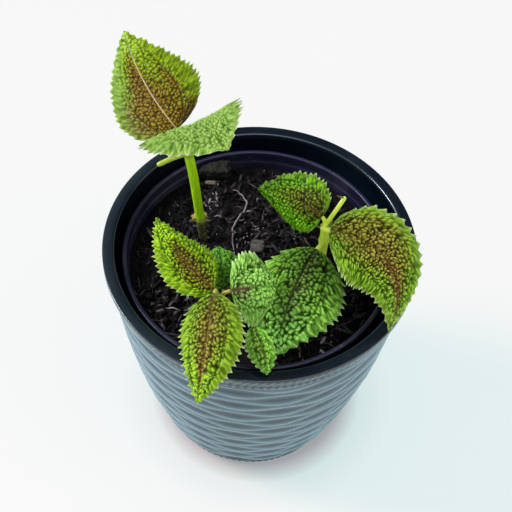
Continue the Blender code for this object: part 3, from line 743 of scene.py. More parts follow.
def rough_bit(name, box, turn, squareness):
    """A worn, flat-bottomed piece that fills a box: a ball pushed towards a block and gouged by noise."""
    low, high = (np.array(corner) / MM for corner in box)
    middle, half = (low + high) / 2, (high - low) / 2
    shape = bmesh.new()
    bmesh.ops.create_icosphere(shape, subdivisions=5, radius=1.0)
    for vertex in shape.verts:
        way = vertex.co.copy()
        block = way / max(abs(way.x), abs(way.y), abs(way.z))
        spot = way.lerp(block, squareness) * (0.86 + 0.12 * noise.noise(way * 2.1))
        spot *= 1 + 0.13 * noise.noise(way * 5) + 0.09 * noise.noise(way * 11) + 0.05 * noise.noise(way * 24)
        crosswise = way.x * math.cos(turn) + way.y * math.sin(turn)
        ridges = 0.05 * math.sin(16 * crosswise + 3 * noise.noise(way * 3))
        spot.z += ridges if way.z > 0 else 0
        vertex.co = Vector(middle + np.array(spot) * half) * MM
        vertex.co.z = max(vertex.co.z, low[2] * MM)
    mesh = bpy.data.meshes.new(name)
    shape.to_mesh(mesh)
    shape.free()
    mesh.shade_smooth()
    return new_object(name, mesh)


root_skin = fibrous_surface("dry_root_skin", (0.26, 0.21, 0.22, 1), (0.62, 0.55, 0.56, 1), 500.0, 0.0002)
grey_chip = fibrous_surface("grey_chip", (0.04, 0.032, 0.032, 1), (0.42, 0.37, 0.36, 1), 800.0, 0.0008)
bark_flake = fibrous_surface("bark_flake", (0.12, 0.09, 0.07, 1), (0.32, 0.24, 0.19, 1), 700.0, 0.0003)
settle(pale_root(), root_skin, "soil_root")
settle(rough_bit("grey_chip", CHIP_BOX, 0.6, 0.45), grey_chip, "soil_chip")
settle(rough_bit("bark_flake", BARK_BOX, 1.4, 0.3), bark_flake, "soil_bark")
dark_bark = fibrous_surface(
    "dark_bark", (0.01, 0.0095, 0.008, 1), (0.05, 0.046, 0.038, 1), 260.0, 0.0008, 0.25)
bark_chunk = rough_bit("bark_chunk", DARK_CHUNK_BOX, 0.3, 0.7)
# the chunk leans against the nursery pot's wall
for vertex in bark_chunk.data.vertices:
    out = math.hypot(vertex.co.x / MM - LINER_SHIFT, vertex.co.y / MM)
    room = min(1.0, (liner_inner_radius(min(vertex.co.z / MM, CHUNK_LEANS_BELOW)) - CHUNK_GAP) / out)
    vertex.co.x, vertex.co.y = LINER_SHIFT * MM + (vertex.co.x - LINER_SHIFT * MM) * room, vertex.co.y * room
settle(bark_chunk, dark_bark)


# Leaf blades.
# Living leaves, each grown flat from a bud and quilted by its veins: three main veins from base to tip, rows
# of small bumps between them, and a saw-toothed edge whose teeth hook forward. Bronze gathers in the middle.
# Each blade is a closed sheet that stands just off the end of its stalk.
BLADE_NECK = 2.2
BLADE_TIP = 1.0
TIP_SHARE = 0.9
TOOTH_LEAST = 0.6
TOOTH_HOOK = 0.55
TOOTH_NOTCH = 0.3
BLADE_PITCH = 0.246
BLADE_THICKNESS = 0.42
RIB_THICKNESS = 1.1
# base and tip are the midrib's ends; roll lowers the right side seen from base to tip; arch and sweep bow the
# midrib up and to the right, as shares of its length; skew widens the right half; widest is the place of the
# widest line; point is the outline's power towards the tip, and taper how much it is drawn in there; curl
# bends the left and right half down from rib to edge, fold lifts both halves at the rib, and twist turns the
# blade along its length. hook is how spiky and forward the teeth are, bumps the number of rows of bumps to a
# tooth, grain their width, and rib the midrib colour's half width, first and last place, and strength.
# bronze, light and cool are spots: place along the blade and across it, reach either way, and strength.
# light spots are painted light and shade, brightening or darkening a blade; cool spots are a painted whitish
# sheen
LEAVES = {
    "leaf_a1": dict(base=(-35, 11.5, 172), tip=(-59.7, 50, 183.7), width=36.3, roll=-25.5, arch=0.03,
                    sweep=-0.05, skew=0.055, widest=0.338, point=1.59, taper=0.0, curl=(19, 16.5), fold=-2,
                    twist=-5.4, teeth=21, tooth=1.25, hook=0.6, relief=0.75, bumps=1.6, grain=1.35,
                    rib=(0.2, 0.0, 0.8, 1.0),
                    bronze=[(0.16, -0.3, 0.32, 0.75, 0.9), (0.5, -0.16, 0.3, 0.24, 0.95),
                            (0.2, 0.3, 0.42, 0.42, 0.42), (0.45, 0.5, 0.22, 0.1, 0.45),
                            (0.02, 0.8, 0.12, 0.4, 1.2)],
                    light=[(0.95, 0, 0.25, 1, 0.3), (0.02, 0.8, 0.12, 0.4, -0.6),
                           (0.3, -0.25, 0.2, 0.2, 0.15)],
                    cool=[(0.55, -1.0, 0.5, 0.5, 1.0), (1.0, 0.0, 0.2, 0.7, 0.5),
                          (0.4, -0.25, 0.2, 0.2, 0.14)]),
    "leaf_a2": dict(base=(-32, 10, 172), tip=(-13.65, -19.6, 198.1), width=37.4, roll=4, arch=0.124,
                    sweep=-0.006, skew=0.127, widest=0.403, point=2.22, taper=0.016, curl=(-12.6, 12),
                    fold=3, twist=22, teeth=18, tooth=1.7, hook=0.9, relief=1.0, bumps=1.77, grain=1.45,
                    rib=(0.3, 0.0, 0.05, 0.3), bronze=[], light=[]),
    "leaf_b1": dict(base=(23, -1, 141), tip=(-3.1, 20.8, 128.7), width=26.3, roll=-47, arch=-0.009,
                    sweep=0.069, skew=-0.05, widest=0.422, point=1.89, taper=0.11, curl=(37, 39.4),
                    fold=-9.5, twist=-8.5, teeth=18, tooth=1.4, hook=0.5, relief=1.2, bumps=1.45,
                    grain=1.45, rib=(0.35, 0.0, 0.3, 0.5),
                    bronze=[(0.08, 0.15, 0.25, 0.7, 0.9), (0.38, 0.05, 0.32, 0.36, 0.85)],
                    light=[(0.45, -0.9, 0.6, 0.55, 1.3), (0.8, 0, 0.3, 1, 0.4)]),
    "leaf_b2": dict(base=(26.5, -10.5, 145.5), tip=(52.4, -39.6, 121.4), width=40.5, roll=-10.9, arch=0.203,
                    sweep=-0.189, skew=-0.007, widest=0.281, point=2.0, taper=0.0, curl=(18, 18.8),
                    fold=7.1, twist=-6.4, teeth=19, tooth=1.6, hook=0.8, relief=1.4, bumps=1.95, grain=1.5,
                    rib=(1.0, 0.4, 0.95, 0.85),
                    bronze=[(0.28, -0.1, 0.38, 0.68, 1.0), (0.6, 0.0, 0.3, 0.24, 0.95)],
                    light=[(0.75, -0.9, 0.3, 0.4, 0.3)]),
    "leaf_b3": dict(base=(22.5, -7, 127.5), tip=(9, -50.5, 114.5), width=37, roll=1, arch=0.09, sweep=0.04,
                    skew=-0.08, widest=0.44, point=1.9, taper=0.0, curl=(23, 23), fold=0, twist=-4,
                    teeth=14, tooth=2.0, hook=0.7, relief=1.6, bumps=2.05, grain=1.7,
                    rib=(0.42, 0.0, 0.75, 0.95), bronze=[(0.25, -0.1, 0.5, 0.2, 0.6)],
                    light=[(0.55, 0.9, 0.28, 0.45, 0.6), (0.65, -0.9, 0.25, 0.4, 0.4),
                           (0.95, 0, 0.22, 1, 1.1), (0.2, -0.1, 0.2, 0.5, -0.3)],
                    cool=[(0.9, 0, 0.3, 1, 0.06)]),
    "leaf_c1": dict(base=(-16.5, -39.5, 141), tip=(-40.5, -14, 149.4), width=27.2, roll=18, arch=0.032,
                    sweep=-0.091, skew=0.163, widest=0.374, point=1.61, taper=0.245, curl=(31, 24),
                    fold=0.9, twist=1.8, teeth=21, tooth=1.4, hook=0.8, relief=1.1, bumps=1.34, grain=1.35,
                    rib=(0.32, 0.0, 0.6, 0.85),
                    bronze=[(0.22, -0.08, 0.34, 0.5, 0.95), (0.5, 0.0, 0.2, 0.25, 0.8)],
                    light=[(0.3, 0, 0.3, 0.3, -0.2), (0.9, 0, 0.3, 1, 0.25)]),
    "leaf_c2": dict(base=(-15.9, -43.6, 144.5), tip=(-18.94, -77.3, 121.25), width=27.4, roll=27.6,
                    arch=0.047, sweep=-0.03, skew=-0.031, widest=0.39, point=1.85, taper=0.071,
                    curl=(28.5, 24.8), fold=3.9, twist=3.8, teeth=18, tooth=1.8, hook=1.0, relief=1.15,
                    bumps=1.6, grain=1.4, rib=(0.75, 0.0, 0.88, 0.5),
                    bronze=[(0.3, -0.04, 0.4, 0.55, 0.9), (0.55, 0.0, 0.25, 0.2, 0.9)],
                    light=[(0.92, 0, 0.3, 1, 0.3), (0.02, 0, 0.2, 1, -0.3), (0.5, -0.8, 0.5, 0.6, -0.18)]),
    "leaf_c3": dict(base=(-9.5, -40, 142), tip=(7.43, -26.35, 126.52), width=28.4, roll=41.3, arch=0.132,
                    sweep=-0.021, skew=0.027, widest=0.432, point=2.24, taper=0.003, curl=(29.8, 26.4),
                    fold=-5.2, twist=6.2, teeth=12, tooth=1.7, hook=0.1, relief=1.3, bumps=1.6, grain=1.45,
                    rib=(0.45, -0.1, 0.4, 0.9), bronze=[(0.03, 0.1, 0.25, 0.3, 0.8)],
                    light=[(0.0, 0, 0.15, 1, -0.3), (0.6, 0, 0.3, 0.5, 0.5)]),
    "leaf_c4": dict(base=(-13, -32, 131), tip=(-16.5, -9, 127), width=19.5, roll=3, arch=0.08, sweep=0.0,
                    skew=0.0, widest=0.42, point=2.1, taper=0.0, curl=(29, 29), fold=-3, twist=-3, teeth=10,
                    tooth=1.7, hook=0.1, relief=1.1, bumps=1.7, grain=1.5, rib=(0.3, 0.0, 0.3, 0.4),
                    bronze=[], light=[(0.1, 0, 0.15, 1, -0.4)]),
    "leaf_c5": dict(base=(-0.2, -43.5, 123.5), tip=(6.2, -62.6, 120.5), width=10.2, roll=-11, arch=0.11,
                    sweep=0.0, skew=0.08, widest=0.48, point=2.2, taper=0.0, curl=(21, 21), fold=4, twist=3,
                    teeth=9, tooth=1.5, hook=0.2, relief=1.2, bumps=1.75, grain=1.25,
                    rib=(0.35, 0.1, 0.8, 0.5), bronze=[(0.5, 0.1, 0.25, 0.5, 0.35)],
                    light=[(0.25, -0.7, 0.6, 0.8, 1.0)]),
}
# places where the margin is drawn up, out or along: hand, place along the blade, spread, rise, push and pull
RUFFLES = {"leaf_a2": [(1, 0.44, 0.18, 1.3, 1.0, -3.0), (-1, 0.365, 0.114, 0.25, 1.4, -1.0)]}


def unit(vectors):
    return vectors / np.linalg.norm(vectors, axis=-1, keepdims=True)


def outline(s, leaf):
    """Half of the blade's width at s along the midrib, as a share of the widest half."""
    widest = leaf["widest"]
    near = np.sqrt(np.clip(1 - (1 - s / widest) ** 2, 0, 1))
    beyond = np.clip((s - widest) / (1 - widest), 0, 1)
    far = (1 - beyond ** leaf["point"]) * (1 - leaf["taper"] * beyond)
    return np.where(s < widest, near, far)


def rib_frame(leaf, s):
    """Points of the midrib, with the directions along it, to its right and out of the upper face."""
    base, tip = np.array(leaf["base"], float), np.array(leaf["tip"], float)
    chord = tip - base
    length = np.linalg.norm(chord)
    along = chord / length
    level = unit(np.cross(along, (0, 0, 1)))
    up = np.cross(level, along)
    roll = math.radians(leaf["roll"])
    side = level * math.cos(roll) - up * math.sin(roll)
    face = np.cross(side, along)
    bow = (face * leaf["arch"] + side * leaf["sweep"]) * length
    s = np.asarray(s, float)[..., None]
    point = base + chord * s + bow * 4 * s * (1 - s)
    run = unit(chord + bow * 4 * (1 - 2 * s))
    turn = math.radians(leaf["twist"]) * (s - 0.5)
    side = side * np.cos(turn) - face * np.sin(turn)
    side = unit(side - run * np.sum(side * run, axis=-1, keepdims=True))
    return point, run, side, np.cross(side, run)


def half_width(leaf, s):
    least = np.where(s > TIP_SHARE, BLADE_TIP, BLADE_NECK)
    return np.maximum(leaf["width"] * outline(s, leaf), least) / 2


def blade_points(leaf, s, v, lift, out, forward, drawn_up):
    """Points of the upper face, lifted off it, moved out past the edge, forward along it and straight up."""
    point, run, side, face = rib_frame(leaf, s)
    hand = np.where(v >= 0, 1.0, -1.0)
    reach = half_width(leaf, s) * np.abs(v) * (1 + hand * leaf["skew"]) + out
    left, right = leaf["curl"]
    bend = np.radians(np.where(v >= 0, right, left)) * np.abs(v)
    bend = np.where(np.abs(bend) < 1e-4, 1e-4, bend)
    fold = math.radians(leaf["fold"])
    middle, end = bend / 2 - fold, bend - fold
    share = np.sin(bend / 2) / (bend / 2)
    across, down = reach * share * np.cos(middle), reach * share * np.sin(middle)
    normal = face * np.cos(end)[..., None] + side * (hand * np.sin(end))[..., None]
    place = point + side * (hand * across)[..., None] - face * down[..., None]
    place = place + normal * lift[..., None] + run * forward[..., None]
    place[..., 2] += drawn_up
    return place, normal


def chance(row, column, salt):
    """A fixed random number from 0 to 1 for each cell."""
    value = np.sin(row * 127.1 + column * 311.7 + salt * 74.7) * 43758.5453
    return value - np.floor(value)


def soft_noise(across, along, salt):
    """Smooth random numbers from 0 to 1 that change over about one unit."""
    c, r = np.floor(across), np.floor(along)
    x, y = across - c, along - r
    x, y = x * x * (3 - 2 * x), y * y * (3 - 2 * y)
    near = chance(r, c, salt) * (1 - x) + chance(r, c + 1, salt) * x
    return near * (1 - y) + (chance(r + 1, c, salt) * (1 - x) + chance(r + 1, c + 1, salt) * x) * y


def spots(places, s, v):
    """The sum of soft spots on a blade."""
    total = np.zeros(s.shape)
    for along, across, reach, width, strength in places:
        total += strength * np.exp(-(((s - along) / reach) ** 2 + ((v - across) / width) ** 2) ** 1.5)
    return total


def bump_cells(row, column, salt, lean, wide):
    """Uneven cells: how far a place is from its cell's middle, how far inside its border, and its number."""
    nearest = np.full(row.shape, 9.0)
    second = np.full(row.shape, 9.0)
    tone = np.zeros(row.shape)
    for dr in (-1, 0, 1):
        for dc in (-1, 0, 1):
            r, c = np.floor(row) + dr, np.floor(column) + dc
            middle_r = r + 0.5 + 0.75 * (chance(r, c, salt) - 0.5)
            middle_c = c + 0.5 + 0.75 * (chance(r, c, salt + 1) - 0.5)
            gap = np.hypot(row - middle_r + lean * (column - middle_c), wide * (column - middle_c))
            closer = gap < nearest
            second = np.where(closer, nearest, np.minimum(second, gap))
            tone = np.where(closer, chance(r, c, salt + 2), tone)
            nearest = np.where(closer, gap, nearest)
    return nearest, second - nearest, tone


def lateral_place(s):
    """Where the side veins run, as a share of the half width: out from the base, then along the edge."""
    return 0.5 * np.clip(s / 0.1, 0, 1) ** 0.6 + 0.12 * s


def leaf_blade(name, salt):
    leaf = LEAVES[name]
    length = math.dist(leaf["base"], leaf["tip"]) * (1 + 2.2 * leaf["arch"] ** 2)
    rows = 2 * round(length / BLADE_PITCH / 2)
    columns = 2 * round(leaf["width"] / BLADE_PITCH / 2)
    s, v = np.meshgrid(np.arange(rows + 1) / rows, np.arange(columns + 1) / columns * 2 - 1, indexing="ij")
    edge, hand = np.abs(v), np.where(v >= 0, 1.0, -1.0)
    across = edge * half_width(leaf, s)
    narrow = outline(s, leaf)

    # teeth: one to each step, with a rounded body, a spiky end where they hook, and a notch between two
    step = s * leaf["teeth"] + 0.25 * (soft_noise(s * leaf["teeth"] * 0.7, hand, salt + 5) - 0.5)
    size = leaf["tooth"] * (TOOTH_LEAST + (1 - TOOTH_LEAST) * narrow)
    size = size * (0.7 + 0.55 * chance(np.floor(step), hand, salt))
    phase = step % 1
    ramp = np.where(phase < 0.6, phase / 0.6, (1 - phase) / 0.4)
    hooked = 0.35 * ramp ** 0.8 + 0.65 * ramp ** 2.6
    rise = leaf["hook"] * hooked + (1 - leaf["hook"]) * np.sin(math.pi * phase) ** 0.7
    rim = smooth_step(0.74, 1, edge) ** 1.4
    whole = smooth_step(0.6, 1.2, step) * smooth_step(leaf["teeth"], leaf["teeth"] - 0.9, step)
    out = size * (rise * (1 + TOOTH_NOTCH) - TOOTH_NOTCH) * rim * whole
    forward = size * TOOTH_HOOK * leaf["hook"] * rise * rim * whole
    drawn_up = 0.5 * (np.sin(step * 2.1 + 2 * hand + salt) + rise - 0.5) * smooth_step(0.5, 1, edge) * whole
    for which, spot, spread_out, lifted, pushed, pulled in RUFFLES.get(name, []):
        share = np.exp(-((s - spot) / spread_out) ** 2) * smooth_step(0.35, 1, edge) * (hand == which)
        drawn_up = drawn_up + lifted * share
        out = out + pushed * share
        forward = forward + pulled * share

    # relief: three sunken main veins, a quilt between them, and small domed bumps on it
    lateral = lateral_place(s)
    vein_gap = np.abs(edge - lateral) * half_width(leaf, s)
    midrib = np.exp(-(across / (0.65 - 0.3 * s)) ** 2)
    side_vein = np.exp(-(vein_gap / 0.4) ** 2) * smooth_step(0.95, 0.7, s)
    beyond = np.maximum(0, edge - lateral) * half_width(leaf, s)
    stray = soft_noise(across / 2.6, s * length / 2.6, salt + 7) - 0.5
    astray = soft_noise(across / 2.2, s * length / 2.2, salt + 8) - 0.5
    column = (across - beyond * 0.35 * smooth_step(0.5, 0.9, edge)) / leaf["grain"]
    column = column + 0.9 * stray + 9 * (hand > 0)
    slant = (0.65 * across + 0.3 * beyond) / length
    row = (s - slant) * leaf["teeth"] * leaf["bumps"] + 0.9 * astray
    pitch = length / (leaf["teeth"] * leaf["bumps"])
    lean = 0.65 * leaf["grain"] / pitch * (1 - 0.5 * smooth_step(0.7, 1.0, edge))
    away, inside, tone = bump_cells(row, column, salt, lean, leaf["grain"] / pitch)
    bronze = spots(leaf["bronze"], s, v)
    netted = (0.3 + 0.7 * np.clip(bronze, 0, 1)) * smooth_step(0.3, -0.1, inside)
    dome = smooth_step(0.78, 0.2, away) * (1 - netted)
    cross_vein = np.abs(((s - slant) * leaf["teeth"] + 0.9 * astray / leaf["bumps"] + 0.5) % 1 - 0.5)
    cross_vein = np.exp(-(cross_vein * length / leaf["teeth"] / 0.35) ** 2)
    pillow = np.sin(math.pi * np.clip(edge / lateral.clip(0.05), 0, 1))
    outer = np.sin(math.pi * np.clip((edge - lateral) / (1 - lateral), 0, 1))
    pillow = np.where(edge > lateral, outer, pillow)
    quilt = pillow ** 0.6 * (1 - 0.5 * cross_vein)
    height = dome * (0.7 + 0.6 * tone) * (1 - 0.3 * cross_vein) * (1 - 0.35 * smooth_step(0.7, 0.95, edge))
    lift = leaf["relief"] * (0.4 * quilt + 0.75 * height)
    lift = lift * (1 - 0.9 * midrib) * (1 - 0.6 * side_vein) * np.minimum(1, 1.6 * narrow)
    lift = lift * (1 - 0.3 * smooth_step(0.5, 0.9, edge)) * (1 - 0.7 * smooth_step(0.88, 1, edge))

    top, normal = blade_points(leaf, s, v, lift, out, forward, drawn_up)
    thick = BLADE_THICKNESS + (RIB_THICKNESS - BLADE_THICKNESS) * midrib * (1 - s)
    thick = thick + 0.25 * side_vein * (1 - s)
    thick = thick * (1 - 0.55 * smooth_step(0.85, 1, edge))
    below = (top - normal * thick[..., None])[::2, ::2]

    # one closed skin: fine above, half as fine below, sewn together round the edge
    wide = columns + 1
    first = (rows + 1) * wide
    wide_below = columns // 2 + 1
    faces = [(i * wide + j, i * wide + j + 1, (i + 1) * wide + j + 1, (i + 1) * wide + j)
             for i in range(rows) for j in range(columns)]
    faces += [(first + i * wide_below + j, first + (i + 1) * wide_below + j,
               first + (i + 1) * wide_below + j + 1, first + i * wide_below + j + 1)
              for i in range(rows // 2) for j in range(columns // 2)]
    for i in (0, rows):
        for j in range(0, columns, 2):
            under = first + i // 2 * wide_below + j // 2
            faces.append((i * wide + j, i * wide + j + 1, i * wide + j + 2, under + 1, under))
    for j in (0, columns):
        for i in range(0, rows, 2):
            under = first + i // 2 * wide_below + j // 2
            faces.append((i * wide + j, (i + 1) * wide + j, (i + 2) * wide + j, under + wide_below, under))
    # marks the colours follow: dome, bronze, tone, rib, rim, light and cool; alpha tells the underside
    bronze = bronze * (0.8 + 0.4 * tone)
    # the rim mark: the teeth's pale tips, and a thin painted highlight along the whole margin, brightest on
    # the teeth
    tipped = smooth_step(0.955, 1, edge) * (0.25 + 0.65 * rise) * whole
    tipped = np.maximum(tipped, smooth_step(0.5, 0.95, rise) * smooth_step(0.88, 0.98, edge) * whole)
    rib_half, first_place, last_place, strength = leaf["rib"]
    rib = np.exp(-(across / rib_half) ** 2) * smooth_step(last_place + 0.1, last_place - 0.2, s) * strength
    rib = rib * smooth_step(first_place - 0.15, first_place + 0.15, s)
    dome = dome * (1 - 0.45 * cross_vein) * (1 - 0.5 * side_vein) * (1 - 0.3 * midrib)
    dome = dome + smooth_step(0.5, 0.95, edge) * (0.66 - dome) * 0.62
    # painted light and shade: the light spots brighten or darken the colour
    light = np.clip(0.5 * (1 + spots(leaf["light"], s, v)), 0.1, 1.6)
    # painted sheen: the cool spots whiten the green towards blue
    cool = np.clip(spots(leaf.get("cool", []), s, v), 0, 1)
    marks = {"net": (dome, bronze, tone, np.zeros(s.shape)), "ribs": (rib, tipped, light, cool)}
    for label, layers in marks.items():
        upper = np.stack([np.broadcast_to(layer, s.shape) for layer in layers], axis=-1)
        lower = upper[::2, ::2].copy()
        lower[..., 3] = 1 if label == "net" else 0
        marks[label] = np.concatenate([upper.reshape(-1, 4), lower.reshape(-1, 4)])
    points = np.concatenate([top.reshape(-1, 3), below.reshape(-1, 3)])
    return mesh_piece(name + "_blade", points, faces, weld=False, marks=marks)


# The leaf's colour follows the net of veins: dark between the bumps, partly the veins' own colour and partly
# painted shade, light on them, partly a painted highlight, and bronze in the middle
leaf_skin, given, made = effect(
    "Quilted leaf",
    {"Hollow": (0.025, 0.07, 0.003, 1), "Green": (0.13, 0.29, 0.01, 1), "Light green": (0.32, 0.55, 0.03, 1),
     "Bronze hollow": (0.03, 0.012, 0.004, 1), "Bronze": (0.13, 0.08, 0.012, 1),
     "Light bronze": (0.34, 0.27, 0.04, 1), "Rib": (0.26, 0.09, 0.03, 1), "Edge": (0.6, 0.76, 0.22, 1),
     "Underside": (0.26, 0.34, 0.18, 1), "Gloss": 0.38}, FINISH)
dome, bronze, tone, underside = mark(leaf_skin, "net")
rib, tipped, light, cool = mark(leaf_skin, "ribs")
place = object_place(leaf_skin)
mottle = cloud(leaf_skin, place, 300.0, 5.0, 0.65)
fine = cloud(leaf_skin, place, 2200.0)
domed = plus(leaf_skin, dome, spread(leaf_skin, mottle, 0.3, 0.7, -0.16, 0.16))
domed = plus(leaf_skin, domed, number(leaf_skin, "MULTIPLY_ADD", tone, 0.24, -0.12))
# the dark of the hollows is partly painted shade, the light of the crowns partly a painted highlight
low = spread(leaf_skin, domed, 0.0, 0.42)
high = spread(leaf_skin, domed, 0.45, 0.92)
patchy = plus(leaf_skin, bronze, spread(leaf_skin, mottle, 0.3, 0.7, -0.2, 0.2))
patchy = times(leaf_skin, patchy, spread(leaf_skin, bronze, 0.0, 0.2))
tones = []
for green, brown, first, last in (("Hollow", "Bronze hollow", 0.0, 0.6), ("Green", "Bronze", 0.1, 0.85),
                                  ("Light green", "Light bronze", 0.25, 1.1)):
    tones.append(blend_colours(leaf_skin, spread(leaf_skin, patchy, first, last), given[green], given[brown]))
hollow, middle, crown = tones
body = blend_colours(leaf_skin, high, blend_colours(leaf_skin, low, hollow, middle), crown)
body = blend_colours(leaf_skin, rib, body, given["Rib"])
# painted light and shade: the colour is brightened or darkened by the light spots
body = blend_colours(leaf_skin, 1.0, body, times(leaf_skin, light, 2.0), "MULTIPLY")
# painted sheen: much more blue where the cool spots are
cooled = blend_colours(leaf_skin, 1.0, body, (1.0, 1.12, 14.0, 1), "MULTIPLY")
body = blend_colours(leaf_skin, cool, body, cooled)
# the edge colour gives the pale tooth tips and the painted highlight along the margin
body = blend_colours(leaf_skin, tipped, body, given["Edge"])
body = blend_colours(leaf_skin, underside, body, given["Underside"])
leaf_skin.links.new(body, made["Color"])
rough = plus(leaf_skin, given["Gloss"], spread(leaf_skin, mottle, 0.3, 0.7, -0.08, 0.12))
leaf_skin.links.new(rough, made["Roughness"])
leaf_skin.links.new(number(leaf_skin, "MULTIPLY_ADD", fine, 0.35, mottle), made["Height"])

LEAF_TONES = {
    "leaf_a1": {"Hollow": (0.038, 0.0697, 0.00037, 1), "Green": (0.147, 0.241, 0.0014, 1),
                "Light green": (0.322, 0.467, 0.0073, 1), "Bronze hollow": (0.0308, 0.0139, 0.00052, 1),
                "Bronze": (0.117, 0.0605, 0.0016, 1), "Light bronze": (0.304, 0.197, 0.011, 1),
                "Rib": (0.8, 0.6, 0.28, 1), "Edge": (0.4, 0.6, 0.12, 1)},
    "leaf_a2": {"Hollow": (0.046, 0.115, 0.0098, 1), "Green": (0.145, 0.298, 0.0236, 1),
                "Light green": (0.357, 0.544, 0.132, 1), "Edge": (0.72, 0.84, 0.45, 1), "Gloss": 0.42},
    "leaf_b1": {"Hollow": (0.007, 0.0285, 0.00017, 1), "Green": (0.075, 0.225, 0.0027, 1),
                "Light green": (0.275, 0.581, 0.0224, 1), "Bronze hollow": (0.007, 0.0046, 0.00017, 1),
                "Bronze": (0.075, 0.075, 0.0027, 1), "Light bronze": (0.275, 0.37, 0.0252, 1),
                "Edge": (0.6, 0.8, 0.25, 1)},
    "leaf_b2": {"Hollow": (0.0209, 0.0452, 0.00097, 1), "Green": (0.132, 0.28, 0.0056, 1),
                "Light green": (0.434, 0.738, 0.0553, 1), "Bronze hollow": (0.0248, 0.0134, 0.00063, 1),
                "Bronze": (0.157, 0.107, 0.0056, 1), "Light bronze": (0.542, 0.51, 0.0738, 1),
                "Rib": (0.24, 0.085, 0.04, 1), "Edge": (0.7, 0.85, 0.35, 1)},
    "leaf_b3": {"Hollow": (0.007, 0.0266, 0.00084, 1), "Green": (0.0695, 0.191, 0.0115, 1),
                "Light green": (0.287, 0.594, 0.0742, 1), "Bronze hollow": (0.007, 0.0084, 0.0017, 1),
                "Bronze": (0.065, 0.0838, 0.0207, 1), "Light bronze": (0.238, 0.327, 0.119, 1),
                "Rib": (0.05, 0.04, 0.022, 1), "Edge": (0.5, 0.75, 0.28, 1)},
    "leaf_c1": {"Hollow": (0.0232, 0.0539, 0.00019, 1), "Green": (0.17, 0.333, 0.0031, 1),
                "Light green": (0.46, 0.763, 0.0228, 1), "Bronze hollow": (0.0151, 0.0081, 0.00019, 1),
                "Bronze": (0.114, 0.0812, 0.0018, 1), "Light bronze": (0.355, 0.345, 0.0228, 1),
                "Rib": (0.28, 0.11, 0.03, 1), "Edge": (0.66, 0.82, 0.25, 1)},
    "leaf_c2": {"Hollow": (0.0147, 0.0333, 0.00021, 1), "Green": (0.12, 0.24, 0.0043, 1),
                "Light green": (0.396, 0.646, 0.0375, 1), "Bronze hollow": (0.0147, 0.0083, 0.00042, 1),
                "Bronze": (0.12, 0.09, 0.0054, 1), "Light bronze": (0.396, 0.386, 0.06, 1),
                "Rib": (0.22, 0.1, 0.035, 1), "Edge": (0.75, 0.88, 0.4, 1)},
    "leaf_c3": {"Hollow": (0.0205, 0.0647, 0.003, 1), "Green": (0.162, 0.398, 0.0398, 1),
                "Light green": (0.487, 0.886, 0.195, 1), "Rib": (0.2, 0.1, 0.05, 1),
                "Bronze hollow": (0.0205, 0.0173, 0.0049, 1), "Bronze": (0.17, 0.162, 0.0568, 1),
                "Light bronze": (0.458, 0.497, 0.205, 1), "Edge": (0.6, 0.84, 0.35, 1)},
    "leaf_c4": {"Hollow": (0.0062, 0.0389, 0.00088, 1), "Green": (0.0536, 0.199, 0.0094, 1),
                "Light green": (0.173, 0.468, 0.0458, 1), "Edge": (0.45, 0.72, 0.28, 1)},
    "leaf_c5": {"Hollow": (0.0134, 0.0388, 0.0015, 1), "Green": (0.126, 0.326, 0.0267, 1),
                "Light green": (0.442, 0.853, 0.134, 1), "Bronze hollow": (0.0197, 0.015, 0.005, 1),
                "Rib": (0.14, 0.07, 0.03, 1), "Edge": (0.66, 0.82, 0.4, 1)},
}
for salt, leaf_name in enumerate(LEAVES):
    leaf_look, tree, shader = surface(leaf_name + "_skin")
    shader.inputs["Specular IOR Level"].default_value = 0.28
    shader.inputs["Specular Tint"].default_value = (1.0, 1.0, 0.5, 1)
    wear(tree, shader, use_effect(tree, leaf_skin, LEAF_TONES[leaf_name]), 0.35, 0.00012)
    settle(leaf_blade(leaf_name, salt), leaf_look, leaf_name)


# Stems.
# Three soft, watery cuttings, each grown as one with its leaf stalks and, on A and B, the cut stub of a lost
# leaf. The node rings are a little swollen, and the foot of each stem is brown and corky.
STEMS = {
    "stem_a": dict(path=[(-24.7, 10, 90), (-24.7, 10, 106), (-26, 9.9, 120), (-28.4, 9.6, 145),
                         (-30.4, 9.5, 160), (-31, 9.5, 166)], radius=1.9, nodes=(121, 161),
                   petioles={"leaf_a1": (161, 0.95), "leaf_a2": (161, 0.95)},
                   stub=((-30.4, 9.5, 161), (-36, 6, 161.5), (-42, 3, 160)), stub_radius=1.0,
                   brown_below=119),
    "stem_b": dict(path=[(25.5, -0.3, 90), (25.5, -0.3, 107), (25.4, -1.9, 127), (25.1, -2.5, 138.5)],
                   radius=1.9, nodes=(127, 137),
                   petioles={"leaf_b1": (135, 0.9), "leaf_b2": (136, 0.95), "leaf_b3": (124, 0.95)},
                   stub=((25.2, -2.4, 138), (28.5, 1.5, 142), (32, 6, 146)), stub_radius=0.95,
                   brown_below=104),
    "stem_c": dict(path=[(-12.5, -37, 90), (-12.5, -37, 107), (-14, -39, 126), (-15.4, -41.3, 139)],
                   radius=1.7, nodes=(126, 136.5),
                   petioles={"leaf_c1": (135, 0.85), "leaf_c2": (136, 0.85), "leaf_c3": (130, 0.8),
                             "leaf_c4": (125, 0.75), "leaf_c5": (111, 0.7)},
                   stub=None, stub_radius=0, brown_below=104),
}
STEM_TOP_SHARE = 0.55
NODE_SWELL = 1.25
NODE_REACH = 2.2
PETIOLE_GAP = 0.5
PETIOLE_DROP = 0.8
PETIOLE_BEND = 0.4
STEM_VOXEL = 0.26


def rod(points, faces, route, radii, sides):
    """Adds a closed round rod, with its own radius at each place, to lists of points and faces."""
    route = np.asarray(route, float)
    run = unit(np.gradient(route, axis=0))
    across = unit(np.cross(run, (0.31, 0.9, 0.29)))
    over = np.cross(across, run)
    faces.extend(tube(points, route, radii, across, over, sides))


def axis_point(path, z):
    for low, high in zip(path, path[1:]):
        if low.z <= z <= high.z:
            return low.lerp(high, (z - low.z) / (high.z - low.z))
    return path[-1]


